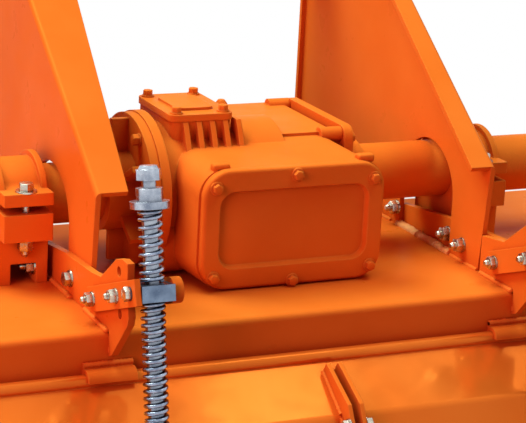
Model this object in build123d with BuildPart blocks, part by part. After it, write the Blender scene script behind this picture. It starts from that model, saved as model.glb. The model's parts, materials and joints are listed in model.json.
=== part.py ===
from build123d import *
import os
from math import cos, hypot, radians, sin

# Rotavator for a small tractor, standing on its depth skids.
# X runs to the machine's right, Y forwards and Z up from the ground, in millimetres.
# The sizes that drive the rest come first; each group of pieces follows.

os.makedirs("parts", exist_ok=True)


def keep(builder, name):
    """Name the finished piece and write it out."""
    builder.part.label = name
    export_step(builder.part, f"parts/{name}.step")


SIDES = ((-1, "left"), (1, "right"))

# Fits
SEAT_GAP = 0.05
RUN_GAP = 0.3

# Whole machine
HALF_WIDTH = 740.0
ROTOR_RADIUS = 245.0
TIP_LIFT = 17.0
ROTOR_Z = ROTOR_RADIUS + TIP_LIFT
HOOD_CLEAR = 63.0
DECK_Z = ROTOR_Z + ROTOR_RADIUS + HOOD_CLEAR
SIDE_SHEET = 8.0
SIDE_FACE = HALF_WIDTH + SIDE_SHEET
SKID_WIDTH = 80.0
SKID_SHEET = 10.0
SIDE_REACH = SIDE_FACE + SKID_WIDTH

# Trailing board: its fall and length behind the hood's rear edge
HOOD_BACK = 116.0
ROLL_RADIUS = 10.0
HINGE_BACK = HOOD_BACK + ROLL_RADIUS + 1.5
BOARD_SHEET = 5.0
BOARD_UPPER = 103.0
BOARD_UPPER_FALL = 33.5
BOARD_LOWER = 330.0
BOARD_LOWER_FALL = 62.0
upper_fall = radians(BOARD_UPPER_FALL)
lower_fall = radians(BOARD_LOWER_FALL)
REAR_REACH = HINGE_BACK + BOARD_UPPER * cos(upper_fall) + BOARD_LOWER * cos(lower_fall)

# Three-point hitch, category I
MAST_AHEAD = 635.0
TOP_HOLE_AHEAD = 34.0
TOP_EAR_RADIUS = 30.0
FRONT_REACH = MAST_AHEAD + TOP_HOLE_AHEAD + TOP_EAR_RADIUS

# Gearbox: the rear cover's face and centre, and the frame tube through it.
# The face lies so far back that the machine's box is centred on the origin.
BOX_Y = (REAR_REACH - FRONT_REACH) / 2
ROTOR_Y = BOX_Y + 44.0
BOX_Z = DECK_Z + 88.0
COVER_WIDTH = 287.0
COVER_HEIGHT = 177.0
COVER_CORNER = 40.0
COVER_THICK = 14.0
COVER_LOW = 86.0
TUBE_RADIUS = 44.45
TUBE_WALL = 8.0
TUBE_Y = BOX_Y + 178.0
TUBE_Z = BOX_Z + 24.0
INPUT_X = 58.0
INPUT_Z = BOX_Z + 4.0
BOX_LEFT = -180.0
BOX_RIGHT = 134.0

# Hood
HOOD_SHEET = 5.0
HOOD_BEND = 9.0
HOOD_REAR_Y = BOX_Y - HOOD_BACK
HOOD_FRONT_Y = BOX_Y + 385.0
HINGE_DROP = 63.0
BAND_DROP = HINGE_DROP + 1.0
APRON_RUN = 62.0
APRON_DROP = 130.0
LIP_RUN = 16.0
LIP_DROP = 95.0

# Mast plates
MAST_X = 311.0
MAST_SHEET = 8.0
MAST_IN = MAST_X - MAST_SHEET / 2
MAST_OUT = MAST_X + MAST_SHEET / 2
MAST_REAR_Y = BOX_Y - 24.0
MAST_FRONT_Y = BOX_Y + MAST_AHEAD
MAST_KNEE_Z = BOX_Z + 78.0
MAST_TOP_DEPTH = 172.0
MAST_ARCH = 82.0
FLANGE_LOW = {"left": 47.0, "right": 41.0}
FLANGE_TOP_END = {"left": 90.0, "right": 30.0}
FLANGE_FRONT = 16.0
FOLD_RADIUS = 7.0

# Hitch pins and top-link jaw
LOWER_PIN_Z = BOX_Z - 46.0
LOWER_PIN_Y = MAST_FRONT_Y - 46.0
LOWER_PIN_RADIUS = 11.0
LOWER_SHOULDER = 341.5
LOWER_PIN_REACH = 80.0
MAST_HEIGHT = 460.0
TOP_HOLE_Z = LOWER_PIN_Z + MAST_HEIGHT
MAST_TOP_Z = TOP_HOLE_Z + 6.0
TOP_HOLE_Y = MAST_FRONT_Y + TOP_HOLE_AHEAD
TOP_HOLE_RADIUS = 9.8
TOP_JAW = 52.0
TOP_EAR = 14.0

# Trailing board hinge
HINGE_Y = BOX_Y - HINGE_BACK
HINGE_Z = DECK_Z - HINGE_DROP
BOARD_HALF = HALF_WIDTH - 18.0
SLEEVE_WIDTH = 70.0
SLEEVE_SHEET = 6.0
SLEEVE_OPEN = 1.5
SLEEVE_XS = (-HALF_WIDTH + 100, -326.0, 301.0, HALF_WIDTH - 100)

# Deck brackets, spring arms and spring rods; the right set is the left one moved across
HAND_STEP = 630.0
BRACKET_THICK = 10.0
BRACKET_X = -MAST_OUT - BRACKET_THICK / 2
ARM_SHEET = 8.0
ARM_HEIGHT = 35.0
FORK_SHEET = 14.0
SWIVEL_Y = BOX_Y - 207.2
SWIVEL_Z = BOX_Z - 4.5
BLOCK_WIDTH = 46.0
BLOCK_DEPTH = 46.0
BLOCK_HEIGHT = 22.0
TRUNNION_RADIUS = 9.0
ROD_X = BRACKET_X - BRACKET_THICK / 2 + BLOCK_WIDTH / 2 + 0.5
ROD_LEAN = 10.8
ROD_RADIUS = 11.0
ROD_BELOW = 218.4
EYE_RADIUS = 18.0
EYE_WIDTH = 26.0
EYE_BORE = 10.5
EYE_PIN = 8.0
SPRING_RADIUS = 17.0
SPRING_BORE = ROD_RADIUS + 0.6
WASHER_RADIUS = 26.0
WASHER_THICK = 9.5
COLLAR_RADIUS = 17.5
COLLAR_HEIGHT = 17.0
NECK_RADIUS = 9.5
NECK_HEIGHT = 10.0
NUT_FLATS = 30.0
NUT_HEIGHT = 14.0
NUT_DOME = 5.0
TOP_COLLAR = 108.6
LOW_COLLAR = -181.4
ROD_ABOVE = TOP_COLLAR + WASHER_THICK + COLLAR_HEIGHT

# Rotor
ROTOR_TUBE = 44.45
ROTOR_HALF = HALF_WIDTH - 22.0
STUB_RADIUS = 27.0
STUB_REACH = SIDE_FACE + 34.0
GANG_COUNT = 6
GANG_STEP = 2 * (ROTOR_HALF - 118.0) / (GANG_COUNT - 1)
GANG_TURN = 20.0
DISC_RADIUS = 112.0
DISC_THICK = 10.0
BLADE_THICK = 8.0
BLADE_REACH = 70.0
BLADE_BEND = 22.0


def side_plane(x):
    """Plane across the machine at x, with sketch axes Y and Z."""
    return Plane.YZ.offset(x)


# Hood: deck, rear band and front apron folded from one sheet
hood_line = [
    (HOOD_REAR_Y, DECK_Z - BAND_DROP),
    (HOOD_REAR_Y, DECK_Z),
    (HOOD_FRONT_Y, DECK_Z),
    (HOOD_FRONT_Y + APRON_RUN, DECK_Z - APRON_DROP),
    (HOOD_FRONT_Y + APRON_RUN + LIP_RUN, DECK_Z - APRON_DROP - LIP_DROP),
]
with BuildPart() as hood:
    with BuildSketch(side_plane(-HALF_WIDTH)):
        with BuildLine():
            FilletPolyline(*hood_line, radius=HOOD_BEND)
            offset(amount=HOOD_SHEET, side=Side.RIGHT)
        make_face()
    extrude(amount=2 * HALF_WIDTH)
keep(hood, "hood")

# Side plates: they close the hood's ends and carry tube and rotor
side_outline = [
    (HOOD_REAR_Y - 6, DECK_Z + 14),
    (TUBE_Y - 84, TUBE_Z + 62),
    (TUBE_Y + 84, TUBE_Z + 62),
    (HOOD_FRONT_Y + 26, DECK_Z + 8),
    (HOOD_FRONT_Y + APRON_RUN + 22, DECK_Z - APRON_DROP + 4),
    (HOOD_FRONT_Y + APRON_RUN + 26, DECK_Z - APRON_DROP - LIP_DROP - 20),
    (ROTOR_Y + 120, ROTOR_Z - 92),
    (ROTOR_Y - 120, ROTOR_Z - 92),
    (HOOD_REAR_Y - 26, ROTOR_Z + 70),
]
for hand, side in SIDES:
    with BuildPart() as side_plate:
        with BuildSketch(side_plane(hand * (HALF_WIDTH + SIDE_SHEET / 2))):
            with BuildLine():
                FilletPolyline(*side_outline, radius=24, close=True)
            make_face()
            with Locations((ROTOR_Y, ROTOR_Z)):
                Circle(STUB_RADIUS + 4, mode=Mode.SUBTRACT)
        extrude(amount=SIDE_SHEET / 2, both=True)
    keep(side_plate, f"side_plate_{side}")

# Side gear case on the left, from the frame tube down to the rotor
CASE_THICK = SKID_WIDTH - 4.0
CASE_TOP_RADIUS = 92.0
CASE_LOW_RADIUS = 104.0
with BuildPart() as gear_case:
    with BuildSketch(side_plane(-SIDE_FACE)):
        with Locations((TUBE_Y, TUBE_Z)):
            Circle(CASE_TOP_RADIUS)
        with Locations((ROTOR_Y, ROTOR_Z)):
            Circle(CASE_LOW_RADIUS)
        make_hull()
    extrude(amount=-CASE_THICK)
    fillet(gear_case.faces().sort_by(Axis.X)[0].edges(), radius=14)
    with BuildSketch(side_plane(-SIDE_FACE)):
        with Locations((TUBE_Y, TUBE_Z)):
            Circle(CASE_TOP_RADIUS + 16)
        with Locations((ROTOR_Y, ROTOR_Z)):
            Circle(CASE_LOW_RADIUS + 16)
        make_hull()
    extrude(amount=-12)
    with Locations(Location((-SIDE_FACE, ROTOR_Y, ROTOR_Z), (0, 90, 0))):
        Cylinder(STUB_RADIUS + RUN_GAP, 2 * (STUB_REACH - SIDE_FACE) + 4, mode=Mode.SUBTRACT)
keep(gear_case, "side_gear_case")

# Rotor bearing hub on the right
HUB_RADIUS = 88.0
with BuildPart() as hub:
    with BuildSketch(side_plane(SIDE_FACE)):
        with Locations((ROTOR_Y, ROTOR_Z)):
            Circle(HUB_RADIUS)
    extrude(amount=18)
    with BuildSketch(side_plane(SIDE_FACE)):
        with Locations((ROTOR_Y, ROTOR_Z)):
            Circle(58)
    extrude(amount=56)
    fillet(hub.faces().sort_by(Axis.X)[-1].edges(), radius=9)
    with Locations(Location((SIDE_FACE, ROTOR_Y, ROTOR_Z), (0, 90, 0))):
        Cylinder(STUB_RADIUS + RUN_GAP, 2 * (STUB_REACH - SIDE_FACE) + 4, mode=Mode.SUBTRACT)
keep(hub, "bearing_hub")

# Depth skids: runner, turned-up nose and a web bolted to the side plate
SKID_REAR_Y = ROTOR_Y - 250.0
SKID_FRONT_Y = ROTOR_Y + 240.0
SKID_NOSE = 95.0
skid_line = [
    (SKID_REAR_Y, SKID_SHEET),
    (SKID_FRONT_Y, SKID_SHEET),
    (SKID_FRONT_Y + SKID_NOSE, SKID_SHEET + SKID_NOSE * 0.8),
]
skid_web = [
    (SKID_REAR_Y + 12, SKID_SHEET),
    (SKID_FRONT_Y + 12, SKID_SHEET),
    (SKID_FRONT_Y + SKID_NOSE - 8, SKID_SHEET + SKID_NOSE * 0.66),
    (ROTOR_Y + 190, ROTOR_Z - 20),
    (ROTOR_Y + 124, ROTOR_Z - 20),
    (ROTOR_Y + 104, ROTOR_Z - 130),
    (ROTOR_Y - 104, ROTOR_Z - 130),
    (ROTOR_Y - 124, ROTOR_Z - 20),
    (ROTOR_Y - 190, ROTOR_Z - 20),
]
for hand, side in SIDES:
    runner_start = SIDE_FACE if hand > 0 else -SIDE_REACH
    web_start = SIDE_FACE if hand > 0 else -SIDE_FACE - SIDE_SHEET
    with BuildPart() as skid:
        with BuildSketch(side_plane(runner_start)):
            with BuildLine():
                FilletPolyline(*skid_line, radius=60)
                offset(amount=SKID_SHEET, side=Side.RIGHT)
            make_face()
        extrude(amount=SKID_WIDTH)
        with BuildSketch(side_plane(web_start)):
            with BuildLine():
                Polyline(*skid_web, close=True)
            make_face()
        extrude(amount=SIDE_SHEET)
    keep(skid, f"skid_{side}")

# Frame tubes from the gearbox out to the side plates
TUBE_FLANGE = 84.0
TUBE_FLANGE_THICK = 14.0
tube_ends = {"left": (-HALF_WIDTH, BOX_LEFT - 14.0), "right": (BOX_RIGHT + 15.0, HALF_WIDTH)}
for hand, side in SIDES:
    tube_low, tube_high = tube_ends[side]
    flange_start = tube_low if hand < 0 else tube_high - TUBE_FLANGE_THICK
    with BuildPart() as frame_tube:
        with BuildSketch(side_plane(tube_low)):
            with Locations((TUBE_Y, TUBE_Z)):
                Circle(TUBE_RADIUS)
        extrude(amount=tube_high - tube_low)
        with BuildSketch(side_plane(flange_start)):
            with Locations((TUBE_Y, TUBE_Z)):
                Circle(TUBE_FLANGE)
        extrude(amount=TUBE_FLANGE_THICK)
        with BuildSketch(side_plane(tube_low)):
            with Locations((TUBE_Y, TUBE_Z)):
                Circle(TUBE_RADIUS - TUBE_WALL)
        extrude(amount=tube_high - tube_low, mode=Mode.SUBTRACT)
    keep(frame_tube, f"frame_tube_{side}")

# Gearbox casting: rear compartment, bevel-gear drum, front housing and input boss
BOX_FRONT_Y = BOX_Y + 336.0
REAR_DEPTH = 140.0
HOUSING_START = 136.0
DRUM_RADIUS = 98.0
DRUM_RIGHT = -8.0
RING_RADIUS = 115.0
RING_THICK = 14.0
RING_LIFT = 6.0
HOUSING_TOP = BOX_Z + 104.0
HOUSING_LOW = BOX_Z - COVER_LOW + 2
LID_X = -98.5
LID_Y = BOX_Y + 192.0
LID_Z = BOX_Z + 134.0
LID_WIDTH = 100.0
LID_LENGTH = 140.0
LID_THICK = 10.0
FIN_COUNT = 5
FIN_STEP = 21.0
FIN_THICK = 8.0
FIN_MID_X = LID_X + 15.0
INPUT_BOSS = 56.0
INPUT_BOSS_REACH = 34.0
INPUT_BORE_DEPTH = 60.0
INPUT_RADIUS = 17.4
FLANGE_BOSS = 11.0
FLANGE_BOSS_LONG = 36.0
cover_mid_z = BOX_Z - COVER_LOW + COVER_HEIGHT / 2
rear_plane = Plane.XZ.offset(-(BOX_Y + COVER_THICK))
fin_outline = [
    (LID_Y - LID_LENGTH / 2 + 20, LID_Z),
    (LID_Y - LID_LENGTH / 2 + 1, LID_Z),
    (LID_Y - LID_LENGTH / 2 - 5, LID_Z - 10),
    (LID_Y - LID_LENGTH / 2 - 12, LID_Z - 25),
    (LID_Y - LID_LENGTH / 2 - 20, BOX_Z + 92),
    (LID_Y - LID_LENGTH / 2 + 20, BOX_Z + 92),
]
with BuildPart() as gearbox:
    with BuildSketch(rear_plane):
        with Locations((0, cover_mid_z)):
            RectangleRounded(COVER_WIDTH + 6, COVER_HEIGHT, COVER_CORNER)
    with BuildSketch(Plane.XZ.offset(-(BOX_Y + REAR_DEPTH))):
        with Locations((-13, cover_mid_z + 5)):
            RectangleRounded(COVER_WIDTH - 1, COVER_HEIGHT + 8, COVER_CORNER)
    loft()
    with BuildSketch(Plane.XZ.offset(-(BOX_Y + HOUSING_START))):
        with Locations(((DRUM_RIGHT + BOX_RIGHT) / 2 - 20, (HOUSING_TOP + HOUSING_LOW) / 2)):
            RectangleRounded(BOX_RIGHT - DRUM_RIGHT + 40, HOUSING_TOP - HOUSING_LOW, 14)
    extrude(amount=-(BOX_FRONT_Y - BOX_Y - HOUSING_START))
    with BuildSketch(side_plane(BOX_LEFT)):
        with Locations((TUBE_Y, TUBE_Z)):
            Circle(DRUM_RADIUS)
    extrude(amount=DRUM_RIGHT - BOX_LEFT + 40)
    with BuildSketch(side_plane(BOX_LEFT)):
        with Locations((TUBE_Y, TUBE_Z)):
            Circle(RING_RADIUS)
        with Locations((TUBE_Y, DECK_Z + RING_LIFT - RING_RADIUS)):
            Rectangle(2 * RING_RADIUS, 2 * RING_RADIUS, mode=Mode.SUBTRACT)
    extrude(amount=RING_THICK)
    with BuildSketch(side_plane(BOX_LEFT + RING_THICK)):
        with Locations((TUBE_Y, HOUSING_LOW + 40)):
            RectangleRounded(2 * DRUM_RADIUS - 8, 80, 18)
    extrude(amount=DRUM_RIGHT - BOX_LEFT)
    with BuildSketch(Plane.XY.offset(TUBE_Z)):
        with Locations((LID_X, LID_Y)):
            RectangleRounded(LID_WIDTH - 4, LID_LENGTH - 4, 12)
    extrude(amount=LID_Z - TUBE_Z)
    for fin in range(FIN_COUNT):
        fin_x = FIN_MID_X + (fin - (FIN_COUNT - 1) / 2) * FIN_STEP
        with BuildSketch(side_plane(fin_x - FIN_THICK / 2)):
            with BuildLine():
                Polyline(*fin_outline, close=True)
            make_face()
        extrude(amount=FIN_THICK)
    with BuildSketch(side_plane(BOX_RIGHT - FLANGE_BOSS_LONG)):
        with Locations((BOX_Y + HOUSING_START, HOUSING_TOP - 4), (BOX_FRONT_Y - 14, HOUSING_TOP - 2)):
            Circle(FLANGE_BOSS)
    extrude(amount=FLANGE_BOSS_LONG)
    with BuildSketch(Plane.XZ.offset(-BOX_FRONT_Y)):
        with Locations((INPUT_X, INPUT_Z)):
            Circle(INPUT_BOSS)
    extrude(amount=-INPUT_BOSS_REACH)
    with Locations(Location((INPUT_X, BOX_FRONT_Y + INPUT_BOSS_REACH, INPUT_Z), (90, 0, 0))):
        Cylinder(INPUT_RADIUS + RUN_GAP, 2 * INPUT_BORE_DEPTH, mode=Mode.SUBTRACT)
keep(gearbox, "gearbox")

# Rear cover with its recessed panel
with BuildPart() as rear_cover:
    with BuildSketch(rear_plane):
        with Locations((0, cover_mid_z)):
            RectangleRounded(COVER_WIDTH, COVER_HEIGHT, COVER_CORNER)
    extrude(amount=COVER_THICK)
    fillet(rear_cover.faces().sort_by(Axis.Y)[0].edges(), radius=5)
    with BuildSketch(Plane.XZ.offset(-BOX_Y)):
        with Locations((0, cover_mid_z)):
            RectangleRounded(COVER_WIDTH - 50, COVER_HEIGHT - 62, 24)
    extrude(amount=-8, taper=24, mode=Mode.SUBTRACT)
keep(rear_cover, "gearbox_rear_cover")

# Inspection lid over the crown wheel
with BuildPart() as lid:
    with BuildSketch(Plane.XY.offset(LID_Z)):
        with Locations((LID_X, LID_Y)):
            RectangleRounded(LID_WIDTH, LID_LENGTH, 12)
    extrude(amount=LID_THICK)
    with BuildSketch(Plane.XY.offset(LID_Z + LID_THICK)):
        with Locations((LID_X, LID_Y)):
            RectangleRounded(LID_WIDTH - 40, LID_LENGTH - 54, 14)
    extrude(amount=4)
keep(lid, "gearbox_lid")

# Left tube carrier: bolted ring, hub and gusset ribs
CARRIER_HUB = TUBE_RADIUS + 14.0
CARRIER_HUB_LONG = 46.0
CARRIER_RIBS = 6
RIB_LONG = 26.0
with BuildPart() as carrier_left:
    with BuildSketch(side_plane(BOX_LEFT)):
        with Locations((TUBE_Y, TUBE_Z)):
            Circle(RING_RADIUS - 2)
        with Locations((TUBE_Y, DECK_Z + RING_LIFT - RING_RADIUS)):
            Rectangle(2 * RING_RADIUS, 2 * RING_RADIUS, mode=Mode.SUBTRACT)
    extrude(amount=-RING_THICK)
    with BuildSketch(side_plane(BOX_LEFT - RING_THICK)):
        with Locations((TUBE_Y, TUBE_Z)):
            Circle(CARRIER_HUB)
    extrude(amount=-CARRIER_HUB_LONG)
    for rib in range(CARRIER_RIBS):
        turn = 360.0 / CARRIER_RIBS * rib + 30.0
        rib_mid = (CARRIER_HUB + RING_RADIUS) / 2 - 8
        rib_y = TUBE_Y + rib_mid * cos(radians(turn))
        rib_z = TUBE_Z + rib_mid * sin(radians(turn))
        with Locations(Location((BOX_LEFT - RING_THICK - RIB_LONG / 2, rib_y, rib_z), (turn, 0, 0))):
            Box(RIB_LONG, RING_RADIUS - CARRIER_HUB, 9)
    with BuildSketch(side_plane(BOX_LEFT - RING_THICK)):
        with Locations((TUBE_Y, TUBE_Z)):
            Circle(TUBE_RADIUS + SEAT_GAP)
    extrude(amount=-CARRIER_HUB_LONG - 10, mode=Mode.SUBTRACT)
keep(carrier_left, "tube_carrier_left")

# Right tube carrier: the side flange of the housing and the tube's hub
FLANGE_REAR_Y = BOX_Y + 119.0
FLANGE_LENGTH = BOX_FRONT_Y + 2.0 - FLANGE_REAR_Y
FLANGE_TOP = HOUSING_TOP + 9.0
FLANGE_HEIGHT = FLANGE_TOP - HOUSING_LOW - 4.0
FLANGE_THICK = 15.0
with BuildPart() as carrier_right:
    with BuildSketch(side_plane(BOX_RIGHT)):
        with Locations((FLANGE_REAR_Y + FLANGE_LENGTH / 2, FLANGE_TOP - FLANGE_HEIGHT / 2)):
            RectangleRounded(FLANGE_LENGTH, FLANGE_HEIGHT, 18)
    extrude(amount=FLANGE_THICK)
    with BuildSketch(side_plane(BOX_RIGHT + FLANGE_THICK)):
        with Locations((TUBE_Y, TUBE_Z)):
            Circle(TUBE_RADIUS + 12)
    extrude(amount=30)
    with BuildSketch(side_plane(BOX_RIGHT + FLANGE_THICK)):
        with Locations((TUBE_Y, TUBE_Z)):
            Circle(TUBE_RADIUS + SEAT_GAP)
    extrude(amount=40, mode=Mode.SUBTRACT)
keep(carrier_right, "tube_carrier_right")

# Power take-off input shaft with six splines
SPLINE_REACH = 92.0
GROOVE_WIDTH = 8.6
with BuildPart() as input_shaft:
    with BuildSketch(Plane.XZ.offset(-(BOX_FRONT_Y + INPUT_BOSS_REACH - INPUT_BORE_DEPTH + 2))):
        with Locations((INPUT_X, INPUT_Z)):
            Circle(INPUT_RADIUS)
    extrude(amount=-(INPUT_BORE_DEPTH - 2 + SPLINE_REACH))
    with BuildSketch(Plane.XZ.offset(-(BOX_FRONT_Y + INPUT_BOSS_REACH + 14))):
        with Locations((INPUT_X, INPUT_Z)):
            with PolarLocations(INPUT_RADIUS, 6):
                Rectangle(5.2, GROOVE_WIDTH)
    extrude(amount=-SPLINE_REACH, mode=Mode.SUBTRACT)
    chamfer(input_shaft.faces().sort_by(Axis.Y)[-1].edges(), length=1.5)
keep(input_shaft, "input_shaft")

# Mast plates: web with an arch over the tube, flanges folded inwards
mast_top_rear = MAST_FRONT_Y - MAST_TOP_DEPTH
mast_web = [
    (MAST_REAR_Y + 15, DECK_Z),
    (MAST_REAR_Y, MAST_KNEE_Z),
    (mast_top_rear, MAST_TOP_Z),
    (MAST_FRONT_Y, MAST_TOP_Z),
    (MAST_FRONT_Y, LOWER_PIN_Z - 42),
    (MAST_FRONT_Y - 92, LOWER_PIN_Z - 42),
    (HOOD_FRONT_Y - 6, DECK_Z),
]
ARCH_Y = TUBE_Y - 16.0
ARCH_Z = TUBE_Z - 30.0
slope_run = mast_top_rear - MAST_REAR_Y
slope_rise = MAST_TOP_Z - MAST_KNEE_Z
slope_long = hypot(slope_run, slope_rise)
for hand, side in SIDES:
    web_start = hand * MAST_X - MAST_SHEET / 2
    slope_plane = Plane(
        origin=(hand * MAST_OUT, MAST_REAR_Y, MAST_KNEE_Z), x_dir=(1, 0, 0), z_dir=(0, -slope_rise, slope_run)
    )
    fold_front = MAST_OUT - FLANGE_FRONT if hand > 0 else -MAST_OUT
    with BuildPart() as mast:
        with BuildSketch(side_plane(web_start)):
            with BuildLine():
                Polyline(*mast_web, close=True)
            make_face()
            with Locations((ARCH_Y, ARCH_Z)):
                Circle(MAST_ARCH, mode=Mode.SUBTRACT)
            with Locations((ARCH_Y, ARCH_Z - 60)):
                Rectangle(2 * MAST_ARCH, 120, mode=Mode.SUBTRACT)
            with Locations((LOWER_PIN_Y, LOWER_PIN_Z)):
                Circle(LOWER_PIN_RADIUS + 5, mode=Mode.SUBTRACT)
        extrude(amount=MAST_SHEET)
        with BuildSketch(slope_plane):
            with BuildLine():
                Polyline(
                    (0, 0),
                    (0, slope_long),
                    (-hand * FLANGE_TOP_END[side], slope_long),
                    (-hand * FLANGE_LOW[side], 0),
                    close=True,
                )
            make_face()
        extrude(amount=-MAST_SHEET)
        with BuildSketch(side_plane(fold_front)):
            with Locations((MAST_FRONT_Y - MAST_SHEET / 2, (MAST_TOP_Z + LOWER_PIN_Z + 40) / 2)):
                Rectangle(MAST_SHEET, MAST_TOP_Z - LOWER_PIN_Z - 40)
        extrude(amount=FLANGE_FRONT)
        outer_edges = mast.edges().filter_by_position(Axis.X, hand * MAST_OUT - 0.1, hand * MAST_OUT + 0.1)
        slope_fold = outer_edges.filter_by(Axis((0, 0, 0), (0, slope_run, slope_rise)))
        front_fold = outer_edges.filter_by(Axis.Z).sort_by(Axis.Y)[-1:]
        fillet(slope_fold + front_fold, radius=FOLD_RADIUS)
    keep(mast, f"mast_plate_{side}")

# Top beam between the plates, with the top-link jaw ahead of it
BEAM_HEIGHT = 80.0
BEAM_DEPTH = 60.0
beam_rear_y = MAST_FRONT_Y - MAST_SHEET - BEAM_DEPTH
with BuildPart() as top_beam:
    with Locations((0, MAST_FRONT_Y - MAST_SHEET - BEAM_DEPTH / 2, TOP_HOLE_Z - 40)):
        Box(2 * MAST_IN, BEAM_DEPTH, BEAM_HEIGHT)
    for hand, side in SIDES:
        ear_start = TOP_JAW / 2 if hand > 0 else -TOP_JAW / 2 - TOP_EAR
        with BuildSketch(side_plane(ear_start)):
            with Locations((TOP_HOLE_Y, TOP_HOLE_Z)):
                Circle(TOP_EAR_RADIUS)
            with Locations((beam_rear_y + 20, TOP_HOLE_Z - 40)):
                Rectangle(40, BEAM_HEIGHT)
            make_hull()
        extrude(amount=TOP_EAR)
    with Locations(Location((0, TOP_HOLE_Y, TOP_HOLE_Z), (0, 90, 0))):
        Cylinder(TOP_HOLE_RADIUS, 200, mode=Mode.SUBTRACT)
keep(top_beam, "top_link_beam")

# Lower link pins with their shoulders
for hand, side in SIDES:
    with BuildPart() as lower_pin:
        with BuildSketch(side_plane(hand * MAST_OUT)):
            with Locations((LOWER_PIN_Y, LOWER_PIN_Z)):
                Circle(25)
        extrude(amount=hand * (LOWER_SHOULDER - MAST_OUT))
        with BuildSketch(side_plane(hand * (MAST_IN - 22))):
            with Locations((LOWER_PIN_Y, LOWER_PIN_Z)):
                Circle(LOWER_PIN_RADIUS + 5)
        extrude(amount=hand * (MAST_OUT - MAST_IN + 24))
        with BuildSketch(side_plane(hand * LOWER_SHOULDER)):
            with Locations((LOWER_PIN_Y, LOWER_PIN_Z)):
                Circle(LOWER_PIN_RADIUS)
        extrude(amount=hand * LOWER_PIN_REACH)
    keep(lower_pin, f"lower_link_pin_{side}")

# Tube clamps outside the mast plates: a saddle above, a block on legs below
CLAMP_START = MAST_OUT + BRACKET_THICK + 10.0
CLAMP_WIDTH = 72.0
CLAMP_WALL = 13.0
CLAMP_EAR = 30.0
SADDLE_LIFT = 8.0
SADDLE_EAR = 18.0
SADDLE_FLARE = 14.0
CRADLE_DROP = 4.0
CRADLE_EAR = 40.0
CLAMP_LEG = 17.0
CLAMP_TUNNEL = 30.0
for hand, side in SIDES:
    clamp_start = CLAMP_START if hand > 0 else -CLAMP_START - CLAMP_WIDTH
    ear_reach = TUBE_RADIUS + CLAMP_WALL + CLAMP_EAR
    cradle_top = TUBE_Z - CRADLE_DROP
    with BuildPart() as saddle:
        with BuildSketch(side_plane(clamp_start)) as saddle_outline:
            with Locations((TUBE_Y, TUBE_Z)):
                Circle(TUBE_RADIUS + CLAMP_WALL)
            with Locations((TUBE_Y, TUBE_Z + SADDLE_LIFT + SADDLE_EAR / 2)):
                Rectangle(2 * ear_reach, SADDLE_EAR)
            with Locations((TUBE_Y, TUBE_Z + SADDLE_LIFT - ear_reach)):
                Rectangle(2 * ear_reach, 2 * ear_reach, mode=Mode.SUBTRACT)
            with Locations((TUBE_Y, TUBE_Z)):
                Circle(TUBE_RADIUS + SEAT_GAP, mode=Mode.SUBTRACT)
            ear_top = TUBE_Z + SADDLE_LIFT + SADDLE_EAR
            on_ear = saddle_outline.vertices().filter_by_position(Axis.Y, ear_top - 0.1, ear_top + 0.1)
            fillet(on_ear.sort_by(Axis.X)[1:3], radius=SADDLE_FLARE)
        extrude(amount=CLAMP_WIDTH)
        for rim in (0, CLAMP_WIDTH - 9):
            with BuildSketch(side_plane(clamp_start + rim)):
                with Locations((TUBE_Y, TUBE_Z)):
                    Circle(TUBE_RADIUS + CLAMP_WALL + 8)
                with Locations((TUBE_Y, TUBE_Z + SADDLE_LIFT + SADDLE_EAR / 2 - ear_reach)):
                    Rectangle(2 * ear_reach, 2 * ear_reach, mode=Mode.SUBTRACT)
                with Locations((TUBE_Y, TUBE_Z)):
                    Circle(TUBE_RADIUS + SEAT_GAP, mode=Mode.SUBTRACT)
            extrude(amount=9)
    keep(saddle, f"clamp_saddle_{side}")
    with BuildPart() as cradle:
        with BuildSketch(side_plane(clamp_start)):
            with Locations((TUBE_Y, (cradle_top + DECK_Z) / 2)):
                Rectangle(2 * ear_reach - 42, cradle_top - DECK_Z)
            with Locations((TUBE_Y, cradle_top - CRADLE_EAR / 2)):
                Rectangle(2 * ear_reach, CRADLE_EAR)
            with Locations((TUBE_Y, TUBE_Z)):
                Circle(TUBE_RADIUS + SEAT_GAP, mode=Mode.SUBTRACT)
        extrude(amount=CLAMP_WIDTH)
        with Locations((clamp_start + CLAMP_WIDTH / 2, TUBE_Y, DECK_Z)):
            Box(CLAMP_WIDTH - 2 * CLAMP_LEG, 4 * ear_reach, 2 * CLAMP_TUNNEL, mode=Mode.SUBTRACT)
    keep(cradle, f"clamp_cradle_{side}")

# Deck brackets: a foot outside the mast plate and a fan behind the deck's rear edge
FOOT_REAR_Y = BOX_Y - 60.0
FAN_FRONT_Y = BOX_Y - 18.0
foot_outline = [
    (BOX_Y + 252, DECK_Z),
    (BOX_Y + 252, DECK_Z + 34),
    (BOX_Y + 68, DECK_Z + 56),
    (FOOT_REAR_Y, DECK_Z + 62),
    (FOOT_REAR_Y, DECK_Z),
]
fan_outline = [
    (FAN_FRONT_Y, DECK_Z),
    (FAN_FRONT_Y, DECK_Z + 58),
    (BOX_Y - 79, DECK_Z + 66),
    (BOX_Y - 135, BOX_Z + 20),
    (BOX_Y - 157, BOX_Z + 26),
    (BOX_Y - 176, BOX_Z + 25),
    (BOX_Y - 178, BOX_Z - 14),
    (BOX_Y - 186, BOX_Z - 46),
    (BOX_Y - 182, BOX_Z - 58),
    (HOOD_REAR_Y - 12, DECK_Z - 30),
    (HOOD_REAR_Y, DECK_Z - 34),
    (HOOD_REAR_Y, DECK_Z),
]
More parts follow.
